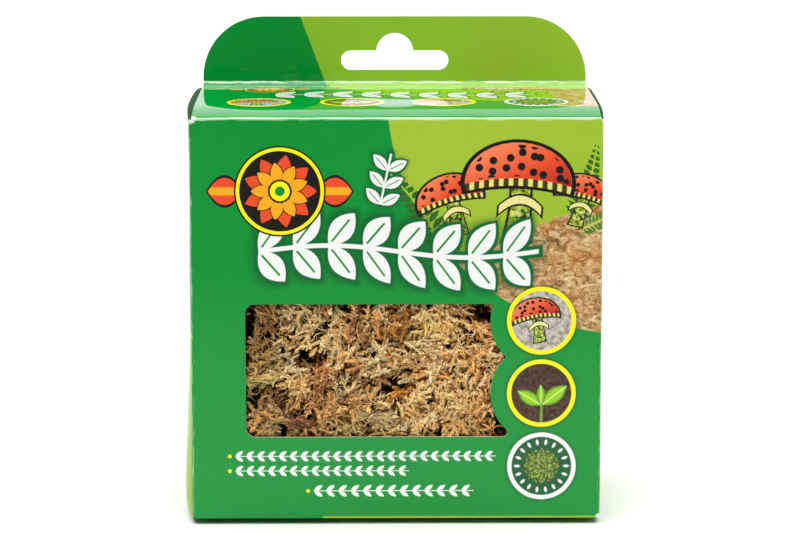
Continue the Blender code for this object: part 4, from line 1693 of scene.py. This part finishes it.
def moss_material(name):
    """Dry leaf skin: the strand's own tint, uneven from leaf to leaf and streaked, darker towards each leaf's
    foot as painted shade, with a soft dull sheen.
    """
    made, tree = new_material(name)

    def stored(attribute, output):
        node = tree.nodes.new("ShaderNodeAttribute")
        node.attribute_name = attribute
        return Term(node.outputs[output])

    mottle = noise_term(tree, own_place(tree), 700.0, 3.0)
    light = stored("leaf_tone", "Fac").scaled(0.45, 0.72)
    # Each leaf is darker towards its foot: painted shade.
    light = light * stored("painted_shade_along_leaf", "Fac").scaled(0.50, 0.66)
    light = light * mottle.scaled(0.7, 0.65)
    shaded = tree.nodes.new("ShaderNodeVectorMath")
    shaded.operation = "SCALE"
    feed(shaded, {0: stored("tint", "Color"), "Scale": light})
    # The gamma darkens and reddens the darker tones: painted shade for the light that bounces between leaves.
    deepened = new_node(tree, "Gamma", {"Color": shaded.outputs[0], "Gamma": 1.22})
    finish(made, deepened.outputs[0], 0.62, 0.3, mottle, strength=0.5, distance=0.00008)
    return made


def core_material(name):
    """The inside of the clump: brown litter, darkened past its own colour as painted shade."""
    made, tree = new_material(name)
    litter = noise_term(tree, own_place(tree), 420.0, 6.0, 0.75)
    # Near-black browns: litter darkened as painted shade, so that the hollows read dark.
    browns = colour_ramp(tree, litter, ((0.38, screen(24, 15, 9)), (0.72, screen(104, 74, 44))))
    finish(made, browns, 0.9, 0.5, litter, distance=0.0006)
    return made


def moss_prototypes(settings, rng):
    """Strands, heads and tufts that are copied all over the clump."""
    leaves = [leaf_prototype(rng, settings.leaf_length, settings.leaf_width) for _ in range(14)]
    strands = []
    for _ in range(36):
        length = rng.uniform(*BRANCHLET_LENGTHS)
        leaf_count = rng.randint(*BRANCHLET_LEAVES)
        strands.append(branchlet_prototype(rng, leaves, length, leaf_count, rng.uniform(0.3, 1.9)))
    heads = [head_prototype(rng, leaves, 24) for _ in range(4)]
    tufts = [tuft_prototype(rng, 5) for _ in range(14)]
    for leaf in leaves:
        bpy.data.meshes.remove(leaf)
    return strands, heads, tufts


def laid(place, heading, roll, size):
    """The move that lays a strand along a heading, through its middle."""
    start = place - heading * STRAND_MIDDLE * size
    return Matrix.Translation(start) @ facing(heading) @ Matrix.Rotation(roll, 4, "Z") @ Matrix.Scale(size, 4)


def in_plane(angle, tilt):
    """A heading in the window's plane, tilted out of it a little."""
    return Vector((math.cos(angle) * math.cos(tilt), math.sin(tilt), math.sin(angle) * math.cos(tilt)))


class WindowMoss:
    """The moss behind the window as it grows, in piles from left to right."""

    def __init__(self, settings):
        self.settings = settings
        self.rng = random.Random(settings.seed)
        self.strands, self.heads, self.tufts = moss_prototypes(settings, self.rng)
        self.piles = [MossPile() for _ in range(WINDOW_PIECES)]

    def add(self, x, prototypes, move, colour):
        """Adds one of the prototypes to the pile at a place from left to right."""
        part = (x - FIELD_LEFT) / (FIELD_RIGHT - FIELD_LEFT)
        index = min(max(int(part * len(self.piles)), 0), len(self.piles) - 1)
        self.piles[index].add(self.rng.choice(prototypes), move, colour)

    def cells(self, spacing):
        """The cells of a grid over the window in a random order."""
        across = round((FIELD_RIGHT - FIELD_LEFT) / spacing)
        upward = round((FIELD_HIGH - FIELD_LOW) / spacing)
        cells = [(i, j) for i in range(across) for j in range(upward)]
        self.rng.shuffle(cells)
        return cells

    def lay_bundles(self, spacing, depth, shade, thinned):
        """Lays a layer of bundles, darkened by the layer's painted shade, which leaves the hollows open where
        it is thinned.
        """
        rng = self.rng
        for i, j in self.cells(spacing):
            x = FIELD_LEFT + (i + rng.uniform(0, 1)) * spacing
            height = FIELD_LOW + (j + rng.uniform(0, 1)) * spacing
            angle = flow_angle(x, height) + rng.gauss(0, BUNDLE_TURN) + math.pi * (rng.random() < 0.5)
            sunk, near = hollow_depth(x, height)
            # The layer's tint darkens the colour: painted shade for the deeper layers.
            colour = tuple(part * by for part, by in zip(zone_colour(rng, x, height), shade))
            if thinned and rng.random() < near * 1.3:
                continue
            tilt = rng.gauss(0.0, BUNDLE_TILT)
            level = depth + sunk + rng.uniform(-BUNDLE_DEPTH, BUNDLE_DEPTH)
            for _ in range(self.settings.bundle):
                aside = rng.gauss(0, BRANCHLET_ASIDE)
                ahead = rng.gauss(0, BRANCHLET_AHEAD)
                spot_x = x + math.cos(angle) * ahead - math.sin(angle) * aside
                spot_z = height + math.sin(angle) * ahead + math.cos(angle) * aside
                if thinned and hollow_depth(spot_x, spot_z)[1] > rng.uniform(0.35, 0.9):
                    continue
                place = Vector((spot_x, INNER_FACE + level + rng.uniform(-0.0004, 0.0006), BASE_SAG + spot_z))
                turned = angle + rng.gauss(0, BRANCHLET_TURN)
                heading = in_plane(turned, tilt + rng.gauss(0, BRANCHLET_TILT))
                move = laid(place, heading, rng.uniform(0, math.tau), rng.uniform(0.8, 1.15))
                self.add(x, self.strands, move, varied(rng, in_patch(colour, spot_x, spot_z)))

    def lay_leading_strand(self, x, height, degrees, size, name):
        """Lays a row of branchlets that reads as one long strand."""
        rng = self.rng
        lie = math.radians(degrees)
        for step in range(LEADING_COUNT):
            angle = lie + rng.gauss(0, LEADING_TURN)
            ahead = (step - LEADING_COUNT // 2) * LEADING_STEP
            spot_x = x + math.cos(lie) * ahead + rng.gauss(0, LEADING_SPREAD)
            spot_z = height + math.sin(lie) * ahead + rng.gauss(0, LEADING_SPREAD)
            y = INNER_FACE + LEADING_DEPTH + rng.uniform(-LEADING_DEPTH_SPREAD, LEADING_DEPTH_SPREAD)
            place = Vector((spot_x, y, BASE_SAG + spot_z))
            heading = in_plane(angle, rng.gauss(0, LEADING_TILT))
            move = laid(place, heading, rng.uniform(0, math.tau), size)
            self.add(x, self.strands, move, varied(rng, in_patch(MOSS_COLOURS[name], x, height), 0.08))

    def lay_marked_head(self, x, height, name):
        """Lays a few small heads close together."""
        rng = self.rng
        for _ in range(MARKED_HEAD_COUNT):
            spot_x = x + rng.gauss(0, MARKED_HEAD_SPREAD)
            z = BASE_SAG + height + rng.gauss(0, MARKED_HEAD_SPREAD)
            place = Vector((spot_x, INNER_FACE + MARKED_HEAD_DEPTH, z))
            outwards = Vector((rng.gauss(0, 0.4), -1, rng.gauss(0, 0.4)))
            colour = varied(rng, in_patch(MOSS_COLOURS[name], x, height), 0.10)
            move = Matrix.Translation(place) @ facing(outwards) @ Matrix.Scale(MARKED_HEAD_SIZE, 4)
            self.add(x, self.heads, move, colour)

    def spot(self):
        """A random place behind the window, and how far the moss is sunk there."""
        x = self.rng.uniform(FIELD_LEFT + FIELD_INSET, FIELD_RIGHT - FIELD_INSET)
        height = self.rng.uniform(FIELD_LOW + FIELD_INSET, FIELD_HIGH - FIELD_INSET)
        return x, height, hollow_depth(x, height)[0]

    def lay_head(self):
        rng = self.rng
        x, height, sunk = self.spot()
        place = Vector((x, INNER_FACE + HEAD_DEPTH + sunk, BASE_SAG + height))
        outwards = Vector((rng.gauss(0, 0.5), -1, rng.gauss(0, 0.5)))
        colour = varied(rng, in_patch(zone_colour(rng, x, height), x, height))
        self.add(x, self.heads, Matrix.Translation(place) @ facing(outwards), colour)

    def lay_tuft(self):
        rng = self.rng
        x, height, sunk = self.spot()
        colour = MOSS_COLOURS[rng.choice(("pale", "straw", "straw", "tan", "grey"))]
        colour = varied(rng, in_patch(colour, x, height))
        turn = Matrix.Rotation(rng.uniform(0, math.tau), 4, "Y")
        place = Vector((x, INNER_FACE + TUFT_DEPTH + sunk * 0.8, BASE_SAG + height))
        self.add(x, self.tufts, Matrix.Translation(place) @ turn, colour)


def press_to_front(co):
    """Presses the moss against the plane of the front, a little proud of it in the window."""
    height = co.z - BASE_SAG
    open_across = fade(co.x, WINDOW_LEFT, WINDOW_RIGHT, WINDOW_EDGE)
    open_by = min(open_across, fade(height, WINDOW_BOTTOM, WINDOW_TOP, WINDOW_EDGE))
    limit = INNER_FACE + FRONT_GAP - WINDOW_PROUD * open_by
    over = limit + PRESSED - co.y
    if over > 0:
        co.y = limit + PRESSED * math.exp(-over / PRESSED)
    co.x = min(max(co.x, MOSS_LOW.x), MOSS_HIGH.x)


def press_to_block(co):
    """Keeps the moss within the clump's solid."""
    middle = (MOSS_LOW + MOSS_HIGH) / 2
    half = (MOSS_HIGH - MOSS_LOW) / 2
    for axis in range(3):
        limit = half[axis] - BLOCK_GAP
        off = co[axis] - middle[axis]
        over = abs(off) - limit + PRESSED
        if over > 0:
            co[axis] = middle[axis] + math.copysign(limit - PRESSED * math.exp(-over / PRESSED), off)


class CARTON_OT_window_moss(CartonPiece, bpy.types.Operator):
    """Make the moss behind the window: leafy strands in layers, sunk at dark hollows, with loose fibres"""

    bl_idname = "carton.window_moss"
    bl_label = "Moss behind the window"

    def execute(self, context):
        settings = context.scene.carton_moss
        moss = WindowMoss(settings)
        for layer, (spacing, depth, shade) in enumerate(MOSS_LAYERS):
            moss.lay_bundles(spacing, depth, shade, layer > 0)
        for strand in LEADING_STRANDS:
            moss.lay_leading_strand(*strand)
        for head in MOSS_HEADS:
            moss.lay_marked_head(*head)
        for _ in range(settings.window_heads):
            moss.lay_head()
        for _ in range(settings.window_fibres):
            moss.lay_tuft()
        for i, pile in enumerate(moss.piles):
            pile.piece(f"moss_window_{i + 1}", press_to_front)
        for mesh in moss.strands + moss.heads + moss.tufts:
            bpy.data.meshes.remove(mesh)
        return {"FINISHED"}


class CARTON_OT_moss_core(CartonPiece, bpy.types.Operator):
    """Make the clump's lumpy core, under the strands, painted dark as shade"""

    bl_idname = "carton.moss_core"
    bl_label = "Moss core"

    def execute(self, context):
        low = MOSS_LOW + Vector((CORE_INSET, CORE_FRONT_INSET, CORE_INSET))
        high = MOSS_HIGH - Vector((CORE_INSET, CORE_INSET, CORE_INSET))
        bm = bmesh.new()
        bmesh.ops.create_cube(bm, size=1)
        bmesh.ops.scale(bm, vec=high - low, verts=bm.verts)
        bmesh.ops.translate(bm, vec=(low + high) / 2, verts=bm.verts)
        bmesh.ops.bevel(
            bm,
            geom=bm.edges[:],
            offset=CORE_BEVEL,
            offset_type="OFFSET",
            affect="EDGES",
            segments=3,
            profile=0.5,
            material=-1,
        )
        for axis in range(3):
            cut_across(bm, axis, spaced(low[axis], high[axis], CORE_CELL), 1e-6)
        bm.normal_update()
        (coarse, coarse_size), (fine, fine_size) = CORE_LUMPS
        moves = []
        for vert in bm.verts:
            deep = coarse * (0.5 + noise.noise(vert.co / coarse_size))
            deep += fine * noise.noise(vert.co / fine_size)
            if vert.normal.y < -0.5:
                deep += hollow_depth(vert.co.x, vert.co.z - BASE_SAG)[0]
            moves.append((vert, vert.normal * deep))
        for vert, move in moves:
            vert.co -= move
        mesh = finished_prototype(bm, "moss_core")
        moss_piece("moss_core", mesh, kept("moss_core_litter", core_material))
        return {"FINISHED"}


class CARTON_OT_outer_moss(CartonPiece, bpy.types.Operator):
    """Make the strands on the clump's other faces, behind the board"""

    bl_idname = "carton.outer_moss"
    bl_label = "Moss on the other faces"

    def execute(self, context):
        settings = context.scene.carton_moss
        rng = random.Random(settings.seed + 100)
        strands, heads, tufts = moss_prototypes(settings, rng)
        middle = (MOSS_LOW + MOSS_HIGH) / 2
        half = (MOSS_HIGH - MOSS_LOW) / 2
        faces = [(axis, side) for axis in range(3) for side in (-1, 1)]
        areas = [half[(axis + 1) % 3] * half[(axis + 2) % 3] for axis, side in faces]
        upper = MossPile()
        lower = MossPile()
        for _ in range(settings.outer_strands):
            axis, side = rng.choices(faces, areas)[0]
            spot = Vector([rng.uniform(-1, 1) * (half[i] - OUTER_EDGE_INSET) for i in range(3)])
            spot[axis] = side * (half[axis] - OUTER_DEPTH)
            place = middle + spot
            size = rng.uniform(1.5, 2.0)
            roll = rng.uniform(0, math.tau)
            strand = rng.choice(strands)
            name = rng.choice(("tan", "straw", "grey", "orange_tan", "brown", "olive", "pale", "dusky"))
            heading = Vector([rng.gauss(0, 1) for _ in range(3)])
            heading[axis] *= OUTER_FLATNESS
            heading.normalize()
            height = place.z - BASE_SAG
            across_window = WINDOW_LEFT - WINDOW_MARGIN < place.x < FIELD_RIGHT + 0.005
            if axis == 1 and side < 0 and across_window:
                if WINDOW_BOTTOM - WINDOW_MARGIN < height < WINDOW_TOP + WINDOW_MARGIN:
                    continue
            pile = upper if place.z > middle.z else lower
            pile.add(strand, laid(place, heading, roll, size), varied(rng, MOSS_COLOURS[name]))
        upper.piece("moss_outer_upper", press_to_block)
        lower.piece("moss_outer_lower", press_to_block)
        for mesh in strands + heads + tufts:
            bpy.data.meshes.remove(mesh)
        return {"FINISHED"}


# The camera, fitted to the photo: millimetres, metres and radians
SENSOR_WIDTH = 36.0
LENS_LENGTH = 140.637
CAMERA_PLACE = (-0.00822, -1.03173, 0.26026)
CAMERA_DIP = 0.173888
CAMERA_TURN = 0.0094044


def floor_material(colour):
    """Pale matt paper, darkened with painted shade well in front of the carton, out of the camera's view."""
    made, tree = new_material("pale_floor")
    near = parts(tree, own_place(tree))[1].scaled(1 / 0.55, 0.62 / 0.55, clamp=True)
    # Painted shade: the floor darkens towards the front, as if the lamps' light fell off there.
    painted_falloff = colour_ramp(tree, near, ((0.0, [0.30 * part for part in colour]), (1.0, colour)), "EASE")
    finish(made, painted_falloff, 0.6, 0.25)
    return made


def floor_mesh(colour):
    """The floor, which starts behind the camera and curves up to a raised back."""
    bm = bmesh.new()
    bmesh.ops.create_grid(bm, x_segments=2, y_segments=60, size=1.0)
    start = -2.2
    flat_length = 4.2
    radius = 1.0
    curve_length = radius * math.pi / 2
    for vert in bm.verts:
        distance = (vert.co.y + 1) * 3.4
        x = vert.co.x * 3.5
        past = distance - flat_length
        if past < 0:
            vert.co = (x, distance + start, 0)
        elif past < curve_length:
            angle = past / radius
            rise = radius - math.cos(angle) * radius
            vert.co = (x, flat_length + start + math.sin(angle) * radius, rise)
        else:
            vert.co = (x, flat_length + start + radius, radius + past - curve_length)
    mesh = finished_prototype(bm, "floor")
    mesh.materials.append(floor_material(colour))
    return mesh


def soft_light(name, place, target, size, power):
    """A square area light that faces a target."""
    lamp = bpy.data.lights.new(name, "AREA")
    lamp.shape = "RECTANGLE"
    lamp.size, lamp.size_y = size
    lamp.energy = power
    made = linked(name, lamp)
    made.location = place
    made.rotation_euler = (Vector(target) - Vector(place)).to_track_quat("-Z", "Y").to_euler()


class CARTON_OT_stage(CartonPiece, bpy.types.Operator):
    """Make the camera, the pale floor with its raised back, and the soft lights"""

    bl_idname = "carton.stage"
    bl_label = "Stage"

    def execute(self, context):
        settings = context.scene.carton_stage
        lens = bpy.data.cameras.new("camera")
        lens.sensor_width = SENSOR_WIDTH
        lens.lens = LENS_LENGTH
        lens.clip_start = 0.05
        lens.clip_end = 20.0
        camera = linked("camera", lens)
        camera.location = CAMERA_PLACE
        camera.rotation_euler = (math.pi / 2 - CAMERA_DIP, 0, -CAMERA_TURN)
        context.scene.camera = camera
        linked("floor", floor_mesh(settings.floor_colour))
        soft_light("key_light", (-0.8, -1.0, 1.5), (0, 0, 0.08), (0.8, 0.8), settings.key_power)
        soft_light("top_light", (-0.1, -0.15, 1.8), (-0.1, -0.15, 0), (2.6, 2.6), settings.top_power)
        soft_light("fill_light", (0.9, -0.9, 1.3), (0, 0, 0.08), (0.8, 0.8), settings.fill_power)
        soft_light("back_light", (0, 1.3, 2.0), (0, 2.9, 0.5), (3.0, 0.8), settings.back_power)
        world = bpy.data.worlds.new("studio")
        world.use_nodes = True
        feed(world.node_tree.nodes["Background"], {"Color": (1, 1, 1), "Strength": 0.12})
        context.scene.world = world
        context.scene.view_settings.view_transform = "Standard"
        return {"FINISHED"}


class CARTON_PT_panel(bpy.types.Panel):
    """Sidebar panel with the carton's settings and pieces"""

    bl_idname = "CARTON_PT_panel"
    bl_label = "Carton"
    bl_space_type = "VIEW_3D"
    bl_region_type = "UI"
    bl_category = "Carton"

    def draw(self, context):
        layout = self.layout
        for name, group in SETTINGS.items():
            box = layout.box()
            for field in group.__annotations__:
                box.prop(getattr(context.scene, name), field)
        for piece in PIECES:
            layout.operator(piece.bl_idname)


PIECES = (
    CARTON_OT_front_panel,
    CARTON_OT_top_and_tab,
    CARTON_OT_side_panels,
    CARTON_OT_back_panel,
    CARTON_OT_moss_core,
    CARTON_OT_window_moss,
    CARTON_OT_outer_moss,
    CARTON_OT_stage,
)


def register():
    for kind in (*SETTINGS.values(), *PIECES, CARTON_PT_panel):
        bpy.utils.register_class(kind)
    for name, group in SETTINGS.items():
        setattr(bpy.types.Scene, name, bpy.props.PointerProperty(type=group))


def unregister():
    for name in SETTINGS:
        delattr(bpy.types.Scene, name)
    for kind in reversed((*SETTINGS.values(), *PIECES, CARTON_PT_panel)):
        bpy.utils.unregister_class(kind)


def main():
    register()
    bpy.ops.carton.front_panel()
    bpy.ops.carton.top_and_tab()
    bpy.ops.carton.side_panels()
    bpy.ops.carton.back_panel()
    bpy.ops.carton.moss_core()
    bpy.ops.carton.window_moss()
    bpy.ops.carton.outer_moss()
    bpy.ops.carton.stage()


if __name__ == "__main__":
    main()
